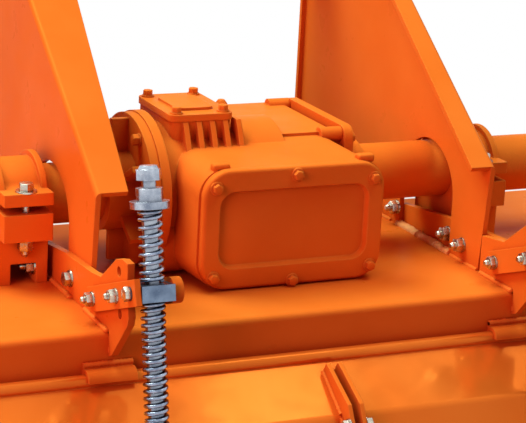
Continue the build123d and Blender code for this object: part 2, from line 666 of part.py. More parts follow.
for hand, side in SIDES:
    shift = 0.0 if hand < 0 else HAND_STEP
    with BuildPart() as bracket:
        with BuildSketch(side_plane(-hand * BRACKET_X)):
            with BuildLine():
                Polyline(*foot_outline, close=True)
            make_face()
        extrude(amount=BRACKET_THICK / 2, both=True)
        with BuildSketch(side_plane(BRACKET_X + shift)):
            with BuildLine():
                Polyline(*fan_outline, close=True)
            make_face()
            with Locations((BOX_Y - 146, BOX_Z + 6), (BOX_Y - 154, BOX_Z - 50)):
                Circle(7, mode=Mode.SUBTRACT)
        extrude(amount=BRACKET_THICK / 2, both=True)
    keep(bracket, f"deck_bracket_{side}")

# Spring arms: a fork of two straps bolted on either face of each bracket
ARM_RISE = 20.5
ARM_BACK = 21.0
ARM_FRONT = 161.0
arm_dir_y = cos(radians(ARM_RISE))
arm_dir_z = -sin(radians(ARM_RISE))
fork_right = ROD_X + BLOCK_WIDTH / 2 + 0.5
for hand, side in SIDES:
    shift = 0.0 if hand < 0 else HAND_STEP
    left_face = BRACKET_X - BRACKET_THICK / 2 + shift
    right_face = BRACKET_X + BRACKET_THICK / 2 + shift
    fork_face = fork_right + shift
    with BuildPart() as arm:
        with BuildSketch(side_plane(left_face - ARM_SHEET)):
            with Locations(Location((SWIVEL_Y, SWIVEL_Z, 0), -ARM_RISE)):
                with Locations(((ARM_FRONT - ARM_BACK) / 2, 0)):
                    Rectangle(ARM_FRONT + ARM_BACK, ARM_HEIGHT)
                Circle(TRUNNION_RADIUS + RUN_GAP, mode=Mode.SUBTRACT)
        extrude(amount=ARM_SHEET)
        with BuildSketch(side_plane(fork_face)):
            with Locations(Location((SWIVEL_Y, SWIVEL_Z, 0), -ARM_RISE)):
                Circle(ARM_HEIGHT / 2)
                with Locations((BLOCK_DEPTH / 2 + 5, 0)):
                    Rectangle(BLOCK_DEPTH + 10, ARM_HEIGHT)
                Circle(TRUNNION_RADIUS + RUN_GAP, mode=Mode.SUBTRACT)
        extrude(amount=FORK_SHEET)
        with BuildSketch(side_plane(right_face)):
            with Locations(Location((SWIVEL_Y, SWIVEL_Z, 0), -ARM_RISE)):
                with Locations((BLOCK_DEPTH + 10 - ARM_SHEET / 2, 0)):
                    Rectangle(ARM_SHEET, ARM_HEIGHT)
        extrude(amount=fork_face - right_face + FORK_SHEET)
        with BuildSketch(side_plane(right_face)):
            with Locations(Location((SWIVEL_Y, SWIVEL_Z, 0), -ARM_RISE)):
                with Locations(((BLOCK_DEPTH + 10 - ARM_SHEET + 120) / 2, 0)):
                    Rectangle(120 - BLOCK_DEPTH - 10 + ARM_SHEET, ARM_HEIGHT)
        extrude(amount=ARM_SHEET)
    keep(arm, f"spring_arm_{side}")

# Spring gear: swivel block, rod, upper and lower spring, all along the leaning rod
lean_y = sin(radians(ROD_LEAN))
lean_z = cos(radians(ROD_LEAN))


def rod_frame(shift):
    """Plane at the swivel with its normal up the rod."""
    return Plane(
        origin=(ROD_X + shift, SWIVEL_Y, SWIVEL_Z), x_dir=(1, 0, 0), z_dir=(0, lean_y, lean_z)
    )


block_top = BLOCK_HEIGHT / 2
for hand, side in SIDES:
    shift = 0.0 if hand < 0 else HAND_STEP
    axis_plane = rod_frame(shift)
    with BuildPart() as block:
        with BuildSketch(axis_plane.offset(-BLOCK_HEIGHT / 2)):
            Rectangle(BLOCK_WIDTH, BLOCK_DEPTH)
        extrude(amount=BLOCK_HEIGHT)
        with BuildSketch(side_plane(ROD_X + shift - BLOCK_WIDTH / 2 - ARM_SHEET - 2)):
            with Locations((SWIVEL_Y, SWIVEL_Z)):
                Circle(TRUNNION_RADIUS)
        extrude(amount=BLOCK_WIDTH + ARM_SHEET + FORK_SHEET + 4)
        with BuildSketch(axis_plane.offset(-BLOCK_HEIGHT)):
            Circle(ROD_RADIUS + RUN_GAP)
        extrude(amount=2 * BLOCK_HEIGHT, mode=Mode.SUBTRACT)
    keep(block, f"swivel_block_{side}")
    with BuildPart() as upper_spring:
        with BuildSketch(axis_plane.offset(block_top)):
            Circle(SPRING_RADIUS)
            Circle(SPRING_BORE, mode=Mode.SUBTRACT)
        extrude(amount=TOP_COLLAR - block_top - 0.3)
    keep(upper_spring, f"upper_spring_{side}")
    with BuildPart() as lower_spring:
        with BuildSketch(axis_plane.offset(LOW_COLLAR)):
            Circle(SPRING_RADIUS)
            Circle(SPRING_BORE, mode=Mode.SUBTRACT)
        extrude(amount=-LOW_COLLAR - block_top - 0.3)
    keep(lower_spring, f"lower_spring_{side}")
    with BuildPart() as rod:
        with BuildSketch(axis_plane.offset(-ROD_BELOW + EYE_BORE + 3)):
            Circle(ROD_RADIUS)
        extrude(amount=ROD_BELOW - EYE_BORE - 3 + ROD_ABOVE)
        with BuildSketch(axis_plane.offset(TOP_COLLAR)):
            Circle(WASHER_RADIUS)
        extrude(amount=WASHER_THICK)
        with BuildSketch(axis_plane.offset(TOP_COLLAR + WASHER_THICK)):
            Circle(COLLAR_RADIUS)
        extrude(amount=COLLAR_HEIGHT)
        with BuildSketch(axis_plane.offset(ROD_ABOVE)):
            Circle(NECK_RADIUS)
        extrude(amount=NECK_HEIGHT)
        with BuildSketch(axis_plane.offset(ROD_ABOVE + NECK_HEIGHT)):
            RegularPolygon(NUT_FLATS / 2, 6, major_radius=False)
        extrude(amount=NUT_HEIGHT)
        with BuildSketch(axis_plane.offset(ROD_ABOVE + NECK_HEIGHT + NUT_HEIGHT)):
            Circle(NUT_FLATS / 2 - 1)
        extrude(amount=NUT_DOME, taper=30)
        with BuildSketch(axis_plane.offset(LOW_COLLAR)):
            Circle(WASHER_RADIUS)
        extrude(amount=-9)
        eye_y = SWIVEL_Y - ROD_BELOW * lean_y
        eye_z = SWIVEL_Z - ROD_BELOW * lean_z
        with BuildSketch(side_plane(ROD_X + shift - EYE_WIDTH / 2)):
            with Locations((eye_y, eye_z)):
                Circle(EYE_RADIUS)
        extrude(amount=EYE_WIDTH)
        with BuildSketch(side_plane(ROD_X + shift - EYE_WIDTH)):
            with Locations((eye_y, eye_z)):
                Circle(EYE_BORE)
        extrude(amount=2 * EYE_WIDTH, mode=Mode.SUBTRACT)
    keep(rod, f"spring_rod_{side}")

# Hinge sleeves on the hood's rear band, curved over the board's rolled edge
sleeve_in = ROLL_RADIUS + RUN_GAP
sleeve_out = sleeve_in + SLEEVE_SHEET
with BuildPart() as sleeves:
    for sleeve_x in SLEEVE_XS:
        with BuildSketch(side_plane(sleeve_x - SLEEVE_WIDTH / 2)):
            with Locations((HINGE_Y, HINGE_Z)):
                Circle(sleeve_out)
            with Locations((HOOD_REAR_Y - SLEEVE_SHEET / 2, HINGE_Z + 12)):
                Rectangle(SLEEVE_SHEET, 18)
            with Locations((HINGE_Y, HINGE_Z + SLEEVE_OPEN - 50)):
                Rectangle(100, 100, mode=Mode.SUBTRACT)
            with Locations((HOOD_REAR_Y + 50, HINGE_Z)):
                Rectangle(100, 100, mode=Mode.SUBTRACT)
            with Locations((HINGE_Y, HINGE_Z)):
                Circle(sleeve_in, mode=Mode.SUBTRACT)
        extrude(amount=SLEEVE_WIDTH)
keep(sleeves, "hinge_sleeves")

# Trailing board: rolled edge, two facets and a stiffened lower lip
bend_y = HINGE_Y - BOARD_UPPER * cos(upper_fall)
bend_z = HINGE_Z - BOARD_UPPER * sin(upper_fall)
tail_y = bend_y - BOARD_LOWER * cos(lower_fall)
tail_z = bend_z - BOARD_LOWER * sin(lower_fall)
with BuildPart() as board:
    with BuildSketch(side_plane(-BOARD_HALF)):
        with BuildLine():
            FilletPolyline(
                (HINGE_Y, HINGE_Z), (bend_y, bend_z), (tail_y, tail_z), radius=18
            )
            offset(amount=BOARD_SHEET, side=Side.LEFT)
        make_face()
        with Locations((HINGE_Y, HINGE_Z)):
            Circle(ROLL_RADIUS)
    extrude(amount=2 * BOARD_HALF)
keep(board, "trailing_board")

# Twin ribs down the middle of the board
RIB_XS = (-16.0, 2.0)
RIB_SHEET = 6.0
RIB_HEIGHT = 26.0
upper_out_y = -sin(upper_fall)
upper_out_z = cos(upper_fall)
lower_out_y = -sin(lower_fall)
lower_out_z = cos(lower_fall)
rib_top_y = HINGE_Y - 24 * cos(upper_fall)
rib_top_z = HINGE_Z - 24 * sin(upper_fall)
rib_low_y = bend_y - 230 * cos(lower_fall)
rib_low_z = bend_z - 230 * sin(lower_fall)
rib_points = [
    (rib_top_y, rib_top_z),
    (rib_top_y + RIB_HEIGHT * upper_out_y * 0.6, rib_top_z + RIB_HEIGHT * upper_out_z * 0.6),
    (bend_y + RIB_HEIGHT * upper_out_y, bend_z + RIB_HEIGHT * upper_out_z),
    (bend_y + RIB_HEIGHT * lower_out_y - 16, bend_z + RIB_HEIGHT * lower_out_z - 30),
    (rib_low_y, rib_low_z),
    (bend_y, bend_z),
]
with BuildPart() as ribs:
    for rib_x in RIB_XS:
        with BuildSketch(side_plane(rib_x)):
            with BuildLine():
                Polyline(*rib_points, close=True)
            make_face()
        extrude(amount=RIB_SHEET)
keep(ribs, "board_ribs")

# Board lugs: two ears and a pin through each spring rod's eye
LUG_GAP = 30.0
LUG_SHEET = 8.0
lug_half = LUG_GAP / 2 + LUG_SHEET
for hand, side in SIDES:
    shift = 0.0 if hand < 0 else HAND_STEP
    with BuildPart() as lug:
        for ear_x in (-lug_half, LUG_GAP / 2):
            with BuildSketch(side_plane(ROD_X + shift + ear_x)):
                with BuildLine():
                    Polyline(
                        (bend_y - 4 * cos(lower_fall), bend_z - 4 * sin(lower_fall)),
                        (eye_y + 13 * cos(lower_fall), eye_z + 13 * sin(lower_fall)),
                        (eye_y + 13 * lower_out_y, eye_z + 13 * lower_out_z),
                        (eye_y - 13 * cos(lower_fall), eye_z - 13 * sin(lower_fall)),
                        (bend_y - 78 * cos(lower_fall), bend_z - 78 * sin(lower_fall)),
                        close=True,
                    )
                make_face()
            extrude(amount=LUG_SHEET)
        with BuildSketch(side_plane(ROD_X + shift - lug_half - 4)):
            with Locations((eye_y, eye_z)):
                Circle(EYE_PIN)
        extrude(amount=2 * lug_half + 8)
    keep(lug, f"board_lug_{side}")

# Rotor: tube with stub shafts, and gangs of L blades on discs
with BuildPart() as rotor_tube:
    with BuildSketch(side_plane(-ROTOR_HALF)):
        with Locations((ROTOR_Y, ROTOR_Z)):
            Circle(ROTOR_TUBE)
    extrude(amount=2 * ROTOR_HALF)
    with BuildSketch(side_plane(-STUB_REACH)):
        with Locations((ROTOR_Y, ROTOR_Z)):
            Circle(STUB_RADIUS)
    extrude(amount=2 * STUB_REACH)
    for hand, side in SIDES:
        with BuildSketch(side_plane(hand * ROTOR_HALF)):
            with Locations((ROTOR_Y, ROTOR_Z)):
                Circle(76)
        extrude(amount=-hand * 16)
    with BuildSketch(side_plane(-ROTOR_HALF + 16)):
        with Locations((ROTOR_Y, ROTOR_Z)):
            Circle(ROTOR_TUBE - TUBE_WALL)
    extrude(amount=2 * ROTOR_HALF - 32, mode=Mode.SUBTRACT)
keep(rotor_tube, "rotor_tube")

SHANK_START = 62.0
SHANK_WIDTH = 54.0
FOOT_LEAD = -13.0
FOOT_TRAIL = 9.0


def on_arc(radius, angle):
    """Point at an angle in degrees on a circle round the rotor axis."""
    return (radius * cos(radians(angle)), radius * sin(radians(angle)))


shank_points = [
    (SHANK_START, -SHANK_WIDTH / 2),
    (DISC_RADIUS + 16, -SHANK_WIDTH / 2),
    on_arc(ROTOR_RADIUS - 44, -17),
    on_arc(ROTOR_RADIUS, FOOT_LEAD),
    on_arc(ROTOR_RADIUS, -2),
    on_arc(ROTOR_RADIUS - 3, FOOT_TRAIL),
    on_arc(ROTOR_RADIUS - 56, 6),
    (DISC_RADIUS + 16, SHANK_WIDTH / 2),
    (SHANK_START, SHANK_WIDTH / 2),
]
foot_face = ROTOR_RADIUS * cos(radians(FOOT_LEAD))


def blade_solid(hand):
    """One L blade beside the rotor axis: a flat shank with its foot bent to the hand's side."""
    inside = Side.RIGHT if hand > 0 else Side.LEFT
    with BuildPart() as blade:
        with BuildSketch(Plane.XY):
            with BuildLine():
                FilletPolyline(
                    (0, SHANK_START), (0, foot_face), (hand * BLADE_REACH, foot_face), radius=BLADE_BEND
                )
                offset(amount=BLADE_THICK, side=inside)
            make_face()
        extrude(amount=ROTOR_RADIUS / 2, both=True)
        with BuildSketch(side_plane(0)):
            Polygon(*shank_points, align=None)
        extrude(amount=2 * BLADE_REACH, both=True, mode=Mode.INTERSECT)
    return blade.part


blades = {1: blade_solid(1), -1: blade_solid(-1)}
for gang in range(GANG_COUNT):
    gang_x = (gang - (GANG_COUNT - 1) / 2) * GANG_STEP
    with BuildPart() as blade_gang:
        with BuildSketch(side_plane(gang_x - DISC_THICK / 2)):
            with Locations((ROTOR_Y, ROTOR_Z)):
                Circle(DISC_RADIUS)
                Circle(ROTOR_TUBE + SEAT_GAP, mode=Mode.SUBTRACT)
        extrude(amount=DISC_THICK)
        for blade in range(6):
            turn = blade * 60.0 + gang * GANG_TURN
            hand = 1 if blade % 2 == 0 else -1
            shank_x = gang_x + hand * DISC_THICK / 2
            add(blades[hand].moved(Location((shank_x, ROTOR_Y, ROTOR_Z), (turn, 0, 0))))
    keep(blade_gang, f"blade_gang_{gang + 1}")
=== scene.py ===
# %% [markdown]
# # Dressing a rotavator
#
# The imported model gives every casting, sheet and shaft in its place, in metres.
# This lesson adds what a drawing leaves out: springs with real coils, bolt heads,
# weld beads, paint that looks sprayed and zinc that looks plated.

import json
import random
from math import acos, atan2, cos, pi, radians, sin, sqrt

import bmesh
import bpy
from mathutils import Matrix, Vector


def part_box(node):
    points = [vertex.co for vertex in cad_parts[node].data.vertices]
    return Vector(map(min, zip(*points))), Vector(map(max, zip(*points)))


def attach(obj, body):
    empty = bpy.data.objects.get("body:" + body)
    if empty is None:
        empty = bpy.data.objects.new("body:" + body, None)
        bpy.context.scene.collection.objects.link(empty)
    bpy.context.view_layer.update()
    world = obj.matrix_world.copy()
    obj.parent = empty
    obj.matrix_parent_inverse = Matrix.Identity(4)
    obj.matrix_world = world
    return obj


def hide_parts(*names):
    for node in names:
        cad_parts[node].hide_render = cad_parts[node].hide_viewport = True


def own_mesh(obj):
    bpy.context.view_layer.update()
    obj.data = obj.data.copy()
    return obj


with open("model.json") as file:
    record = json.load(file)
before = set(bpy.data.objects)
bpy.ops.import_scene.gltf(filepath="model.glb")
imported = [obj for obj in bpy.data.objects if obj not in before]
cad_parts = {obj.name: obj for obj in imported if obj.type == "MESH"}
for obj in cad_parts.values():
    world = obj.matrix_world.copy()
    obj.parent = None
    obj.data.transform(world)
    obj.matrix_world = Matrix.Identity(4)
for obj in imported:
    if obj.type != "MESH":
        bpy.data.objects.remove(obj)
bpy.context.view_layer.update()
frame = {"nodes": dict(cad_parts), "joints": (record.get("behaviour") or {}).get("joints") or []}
nodes = frame["nodes"]

# %% [markdown]
# ## One origin for all small parts
#
# Bolts and welds could be placed from the ground, but they are easier to check from
# something that the eye can find. Here that is the middle of the gearbox's rear cover, and
# sizes are in millimetres from it. The right spring gear is the left one moved across.

# %% The rear cover as the origin of the fittings
MM = 0.001
COVER_BELOW_MIDDLE = 86.0
HAND_STEP = 630.0
SIDES = (("left", -1, 0.0), ("right", 1, HAND_STEP))
UP = (0.0, 0.0, 1.0)
DOWN = (0.0, 0.0, -1.0)
LEFT = (-1.0, 0.0, 0.0)
RIGHT = (1.0, 0.0, 0.0)
REAR = (0.0, -1.0, 0.0)
cover_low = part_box("gearbox_rear_cover")[0]
cover_middle = Vector((0.0, cover_low.y, cover_low.z + COVER_BELOW_MIDDLE * MM))


def at(x, y, z):
    """Point in the model from millimetres right of, ahead of and above the rear cover's middle."""
    return cover_middle + Vector((x, y, z)) * MM


def around(middle, radius, angle):
    """Depth and height of a point on a circle seen from the side, at an angle in degrees."""
    return middle[0] + radius * cos(radians(angle)), middle[1] + radius * sin(radians(angle))


print("rear cover's middle:", [round(c, 4) for c in cover_middle])

# %% [markdown]
# ## The camera
#
# The photograph was taken from behind and to the left with a long lens, a little tilted.
# A camera could be aimed at a target, but then its tilt is lost. Here its three axes are
# worked out from three angles, so nothing is aimed by eye.

# %% Camera
CAMERA_PLACE = (-1241.0, -2511.0, 814.0)
CAMERA_TURN = radians(-25.34)
CAMERA_DROP = radians(15.80)
CAMERA_ROLL = radians(3.07)
CAMERA_LENS = 138.5
SENSOR_WIDTH = 36.0

ahead = Vector(
    (
        -sin(CAMERA_TURN) * cos(CAMERA_DROP),
        cos(CAMERA_TURN) * cos(CAMERA_DROP),
        -sin(CAMERA_DROP),
    )
)
level = Vector((cos(CAMERA_TURN), sin(CAMERA_TURN), 0.0))
upright = level.cross(ahead)
across = level * cos(CAMERA_ROLL) + upright * sin(CAMERA_ROLL)
upwards = upright * cos(CAMERA_ROLL) - level * sin(CAMERA_ROLL)
lens = bpy.data.cameras.new("photo_camera")
lens.lens = CAMERA_LENS
lens.sensor_width = SENSOR_WIDTH
camera = bpy.data.objects.new("photo_camera", lens)
turn = Matrix((across, upwards, -ahead)).transposed().to_4x4()
camera.matrix_world = Matrix.Translation(at(*CAMERA_PLACE)) @ turn
scene = bpy.context.scene
scene.collection.objects.link(camera)
scene.camera = camera
scene.view_settings.view_transform = "Standard"
print("camera at", [round(c, 3) for c in camera.matrix_world.translation])

# %% [markdown]
# ## Helpers for nodes
#
# The floor and every finish are built from the same few nodes. Each helper makes one of
# them, sets it and joins it up, so that a finish further down reads like a recipe.

# %% Node helpers
MIX_FIRST = 6
MIX_SECOND = 7
MIX_RESULT = 2


def link_nodes(tree, *pairs):
    """Join sockets given as (from node, output, to node, input)."""
    for source, output, target, socket in pairs:
        tree.links.new(source.outputs[output], target.inputs[socket])


def arithmetic(tree, operation, first, first_output, second, second_output):
    """A Math node fed by two outputs."""
    result = tree.nodes.new("ShaderNodeMath")
    result.operation = operation
    link_nodes(tree, (first, first_output, result, 0), (second, second_output, result, 1))
    return result


def vector_step(tree, operation, source, output, value=(0.0, 0.0, 0.0)):
    """A Vector Math node fed by one output, with its second vector set."""
    step = tree.nodes.new("ShaderNodeVectorMath")
    step.operation = operation
    step.inputs[1].default_value = value
    link_nodes(tree, (source, output, step, 0))
    return step


def spread(tree, source, output, low, high, out_low, out_high):
    """Stretch a grey value from low..high to out_low..out_high."""
    ramp = tree.nodes.new("ShaderNodeMapRange")
    for socket, value in zip(("From Min", "From Max", "To Min", "To Max"), (low, high, out_low, out_high)):
        ramp.inputs[socket].default_value = value
    link_nodes(tree, (source, output, ramp, "Value"))
    return ramp


def mix_colours(tree, amount, first, second):
    """Mix two colours by a node's first output; a colour may be a Mix node or a tuple."""
    mix = tree.nodes.new("ShaderNodeMix")
    mix.data_type = "RGBA"
    link_nodes(tree, (amount, 0, mix, 0))
    for socket, value in ((MIX_FIRST, first), (MIX_SECOND, second)):
        if isinstance(value, tuple):
            mix.inputs[socket].default_value = value
        else:
            link_nodes(tree, (value, MIX_RESULT, mix, socket))
    return mix


def seen_rays(tree):
    """A node that is 1 for rays that show the background: camera, glossy and transmission."""
    path = tree.nodes.new("ShaderNodeLightPath")
    direct = arithmetic(tree, "MAXIMUM", path, "Is Camera Ray", path, "Is Glossy Ray")
    return arithmetic(tree, "MAXIMUM", direct, 0, path, "Is Transmission Ray")


def blank_finish(name):
    """A new material, its node tree and its Principled shader."""
    finish = bpy.data.materials.new(name)
    finish.use_nodes = True
    return finish, finish.node_tree, finish.node_tree.nodes["Principled BSDF"]


print("node helpers ready")

# %% [markdown]
# ## Light
#
# The world is white where it is seen and a weak red where it only lights, because painted
# sheets throw red into each other's shade. It could be one grey for both, but then the
# shade would turn brown.

# %% World
SHADE_COLOUR = (1.0, 0.28, 0.42, 1.0)
SHADE_STRENGTH = 0.14
PLAIN_WHITE = (1.0, 1.0, 1.0, 1.0)

world = bpy.data.worlds.new("studio_world")
world.use_nodes = True
scene.world = world
sky = world.node_tree
sky.nodes.clear()
shade = sky.nodes.new("ShaderNodeBackground")
shade.inputs["Color"].default_value = SHADE_COLOUR
shade.inputs["Strength"].default_value = SHADE_STRENGTH
white = sky.nodes.new("ShaderNodeBackground")
white.inputs["Color"].default_value = PLAIN_WHITE
choose = sky.nodes.new("ShaderNodeMixShader")
world_out = sky.nodes.new("ShaderNodeOutputWorld")
link_nodes(
    sky,
    (seen_rays(sky), 0, choose, 0),
    (shade, 0, choose, 1),
    (white, 0, choose, 2),
    (choose, 0, world_out, 0),
)
print("world:", world.name)

# %% [markdown]
# The key lamp hangs ahead of the machine and above it, so top faces are bright and the
# faces turned to the camera lie in shade. A red lamp fills that shade from behind and the
# left, and one more lights the right from above. Neither shows in gloss, which keeps the
# paint's colour deep. The two narrow lamps are there for the bright patches on the board.

# %% Lamps
LAMP_TARGET = (0.0, 0.0, 0.6)
KEY_TINT = (0.96, 1.0, 0.86)
SIDE_TINT = (1.0, 0.36, 0.36)
TOP_TINT = (0.96, 1.0, 0.88)
STRIP_TINT = (1.0, 0.98, 0.92)


def softbox(name, place, target, size, power, tint, mirrored):
    """A rectangular lamp that looks at a point; gloss shows it if it is mirrored."""
    lamp = bpy.data.lights.new(name, "AREA")
    lamp.shape = "RECTANGLE"
    lamp.size, lamp.size_y = size
    lamp.energy = power
    lamp.color = tint
    stand = bpy.data.objects.new(name, lamp)
    facing = (Vector(target) - Vector(place)).to_track_quat("-Z", "Y").to_matrix().to_4x4()
    stand.matrix_world = Matrix.Translation(Vector(place)) @ facing
    stand.visible_glossy = mirrored
    scene.collection.objects.link(stand)


softbox("key_softbox", (-1.4, 1.3, 4.2), LAMP_TARGET, (2.2, 2.2), 172.0, KEY_TINT, True)
softbox("side_softbox", (-3.1, -1.75, 1.9), LAMP_TARGET, (1.6, 1.8), 78.0, SIDE_TINT, False)
softbox("top_softbox", (1.5, -0.6, 4.4), LAMP_TARGET, (2.2, 1.6), 66.0, TOP_TINT, False)
softbox("wide_strip", (1.64, -0.45, 4.4), (1.64, -0.45, 0.0), (0.53, 0.80), 4.6, STRIP_TINT, True)
softbox("slim_strip", (2.52, -0.50, 4.4), (2.52, -0.50, 0.0), (0.15, 0.80), 1.5, STRIP_TINT, True)
print("lamps:", len(bpy.data.lights))

# %% [markdown]
# The floor near the machine is pale and takes its shadow. Further off it turns into plain
# white for the camera, as a curved studio sheet does. What it throws back is dark red, so
# that the white doesn't wash out the paint from below.

# %% Floor
FLOOR_SIZE = 40.0
FLOOR_NEAR = 1.6
FLOOR_FAR = 3.2
FLOOR_ROUGHNESS = 0.9
FLOOR_THROWS = (0.26, 0.08, 0.09, 1.0)
FLOOR_SHOWS = (0.86, 0.86, 0.85, 1.0)

floor_shape = bmesh.new()
bmesh.ops.create_grid(floor_shape, x_segments=1, y_segments=1, size=FLOOR_SIZE / 2)
floor_mesh = bpy.data.meshes.new("studio_floor")
floor_shape.to_mesh(floor_mesh)
floor_shape.free()
floor = bpy.data.objects.new("studio_floor", floor_mesh)
scene.collection.objects.link(floor)

sheet, paper, matt = blank_finish("studio_sheet")
matt.inputs["Roughness"].default_value = FLOOR_ROUGHNESS
seen = seen_rays(paper)
floor_colour = mix_colours(paper, seen, FLOOR_THROWS, FLOOR_SHOWS)
place_on_floor = paper.nodes.new("ShaderNodeTexCoord")
distance = vector_step(paper, "LENGTH", place_on_floor, "Object")
fade = spread(paper, distance, "Value", FLOOR_NEAR, FLOOR_FAR, 0.0, 1.0)
fade.interpolation_type = "SMOOTHSTEP"
when_seen = arithmetic(paper, "MULTIPLY", fade, 0, seen, 0)
glow = paper.nodes.new("ShaderNodeEmission")
glow.inputs["Strength"].default_value = 1.0
blend_floor = paper.nodes.new("ShaderNodeMixShader")
link_nodes(
    paper,
    (floor_colour, MIX_RESULT, matt, "Base Color"),
    (when_seen, 0, blend_floor, 0),
    (matt, 0, blend_floor, 1),
    (glow, 0, blend_floor, 2),
    (blend_floor, 0, paper.nodes["Material Output"], 0),
)
floor_mesh.materials.append(sheet)
print("floor to", FLOOR_SIZE / 2, "m")

# %% [markdown]
# ## Finishes
#
# Every finish is a small set of nodes on Object coordinates, so its grain keeps its real
# size on every piece. A Bevel node rounds the light on sharp edges, and where it turns the
# normal most, the paint is paler: partly worn thin, partly a painted highlight. Corners and
# gaps are darkened with painted shade.


# %% Helpers for the finishes
EDGE_FLAT = 0.995
EDGE_TURNED = 0.80
OPEN_FACE = 0.85
CLOSED_CORNER = 0.25


def colour(red, green, blue):
    """Linear colour from a paint chart's 0 to 255 values."""
    chart = [c / 255 for c in (red, green, blue)]
    return tuple(c / 12.92 if c <= 0.04045 else ((c + 0.055) / 1.055) ** 2.4 for c in chart) + (1.0,)


def grain(tree, scale, detail, roughness=0.55):
    """Noise on Object coordinates, with a scale in spots per metre."""
    where = tree.nodes.new("ShaderNodeTexCoord")
    noise = tree.nodes.new("ShaderNodeTexNoise")
    noise.inputs["Scale"].default_value = scale
    noise.inputs["Detail"].default_value = detail
    noise.inputs["Roughness"].default_value = roughness
    link_nodes(tree, (where, "Object", noise, "Vector"))
    return noise


def rounded_normal(tree, radius):
    """A Bevel node, which rounds the light on edges by a radius in metres."""
    bevel = tree.nodes.new("ShaderNodeBevel")
    bevel.samples = 4
    bevel.inputs["Radius"].default_value = radius
    return bevel


def edge_wear_and_highlight(tree, bevel):
    """A grey value that is high where the Bevel node turns the normal: partly edge wear, partly painted
    highlight.
    """
    flat = tree.nodes.new("ShaderNodeNewGeometry")
    along = vector_step(tree, "DOT_PRODUCT", bevel, 0)
    link_nodes(tree, (flat, "Normal", along, 1))
    return spread(tree, along, "Value", EDGE_FLAT, EDGE_TURNED, 0.0, 1.0)


def painted_corner_shade(tree, reach, most):
    """A grey value that rises in corners and gaps, where painted shade darkens the colour."""
    corner = tree.nodes.new("ShaderNodeAmbientOcclusion")
    corner.samples = 6
    corner.inputs["Distance"].default_value = reach
    return spread(tree, corner, "AO", OPEN_FACE, CLOSED_CORNER, 0.0, most)


def bumped(tree, shader, height, distance, strength, bevel):
    """Raise the surface by a grey value, over the rounded edges."""
    bump = tree.nodes.new("ShaderNodeBump")
    bump.inputs["Distance"].default_value = distance
    bump.inputs["Strength"].default_value = strength
    link_nodes(tree, (height, 0, bump, "Height"), (bevel, 0, bump, "Normal"), (bump, 0, shader, "Normal"))


print("finish helpers ready")

# %% [markdown]
# The machine is sprayed in a bright orange. The colour drifts a little from place to place,
# the skin has the faint ripple of sprayed enamel, and its gloss is patchy. The board is the
# wettest sheet, castings are rougher, and welds are paler.

# %% Orange enamel
ENAMEL = colour(234, 130, 45)
ENAMEL_DEEP = colour(226, 115, 32)
# Pale orange for edges: partly paint worn thin, partly a painted highlight
ENAMEL_PALE_WEAR_AND_HIGHLIGHT = colour(252, 168, 74)
# Red-brown painted shade for corners and gaps
ENAMEL_PAINTED_SHADE = colour(158, 40, 20)
WELD_PALE = colour(240, 140, 56)
BEAD_PALE = colour(252, 200, 130)
DRIFT_SPOTS = 7.0
RUB_SPOTS = 55.0
HAZE_SPOTS = 24.0
HAZE_DEPTH = 0.16
# How far the painted shade in corners reaches, in metres
CORNER_SHADE_REACH = 0.05


def orange_enamel(name, peel, gloss, shine, flake, edge_radius, coat=ENAMEL, corners=0.6):
    """Sprayed orange paint; peel is the scale, depth and strength of its ripple,
    shine is its clear reflection and flake its orange one; corners sets how dark the painted shade in
    corners gets."""
    finish, tree, shader = blank_finish(name)
    drift = spread(tree, grain(tree, DRIFT_SPOTS, 3.0), 0, 0.35, 0.65, 0.0, 0.55)
    body_colour = mix_colours(tree, drift, coat, ENAMEL_DEEP)
    bevel = rounded_normal(tree, edge_radius)
    rub = spread(tree, grain(tree, RUB_SPOTS, 4.0), 0, 0.3, 0.7, 0.35, 0.95)
    # Pale edges, patchy by the rub noise: partly rubbed paint, partly a painted highlight
    worn = arithmetic(tree, "MULTIPLY", edge_wear_and_highlight(tree, bevel), 0, rub, 0)
    edged = mix_colours(tree, worn, body_colour, ENAMEL_PALE_WEAR_AND_HIGHLIGHT)
    # Painted shade: corners and gaps darken towards red-brown
    colour_with_painted_shade = mix_colours(tree, painted_corner_shade(tree, CORNER_SHADE_REACH, corners), edged, ENAMEL_PAINTED_SHADE)
    haze = spread(tree, grain(tree, HAZE_SPOTS, 5.0), 0, 0.3, 0.75, gloss, gloss + HAZE_DEPTH)
    peel_scale, peel_depth, peel_strength = peel
    bumped(tree, shader, grain(tree, peel_scale, 3.0), peel_depth, peel_strength, bevel)
    link_nodes(tree, (colour_with_painted_shade, MIX_RESULT, shader, "Base Color"), (haze, 0, shader, "Roughness"))
    shader.inputs["Specular IOR Level"].default_value = shine
    shader.inputs["Metallic"].default_value = flake
    return finish


sheet_enamel = orange_enamel(
    "orange_sheet_enamel", (240.0, 0.0006, 0.10), gloss=0.26, shine=0.006, flake=0.05, edge_radius=0.0016
)
board_enamel = orange_enamel(
    "orange_board_enamel", (60.0, 0.0008, 0.05), gloss=0.05, shine=0.02, flake=0.28, edge_radius=0.0016
)
cast_enamel = orange_enamel(
    "orange_cast_enamel", (420.0, 0.0011, 0.34), gloss=0.34, shine=0.012, flake=0.04, edge_radius=0.0028
)
weld_enamel = orange_enamel(
    "orange_weld_enamel",
    (700.0, 0.0009, 0.45),
    gloss=0.24,
    shine=0.03,
    flake=0.05,
    edge_radius=0.0008,
    coat=WELD_PALE,
    corners=0.3,
)
bead_enamel = orange_enamel(
    "pale_bead_enamel",
    (900.0, 0.0012, 0.60),
    gloss=0.20,
    shine=0.06,
    flake=0.05,
    edge_radius=0.0008,
    coat=BEAD_PALE,
    corners=0.2,
)
enamels = (sheet_enamel, board_enamel, cast_enamel, weld_enamel, bead_enamel)
print("enamels:", [enamel.name for enamel in enamels])

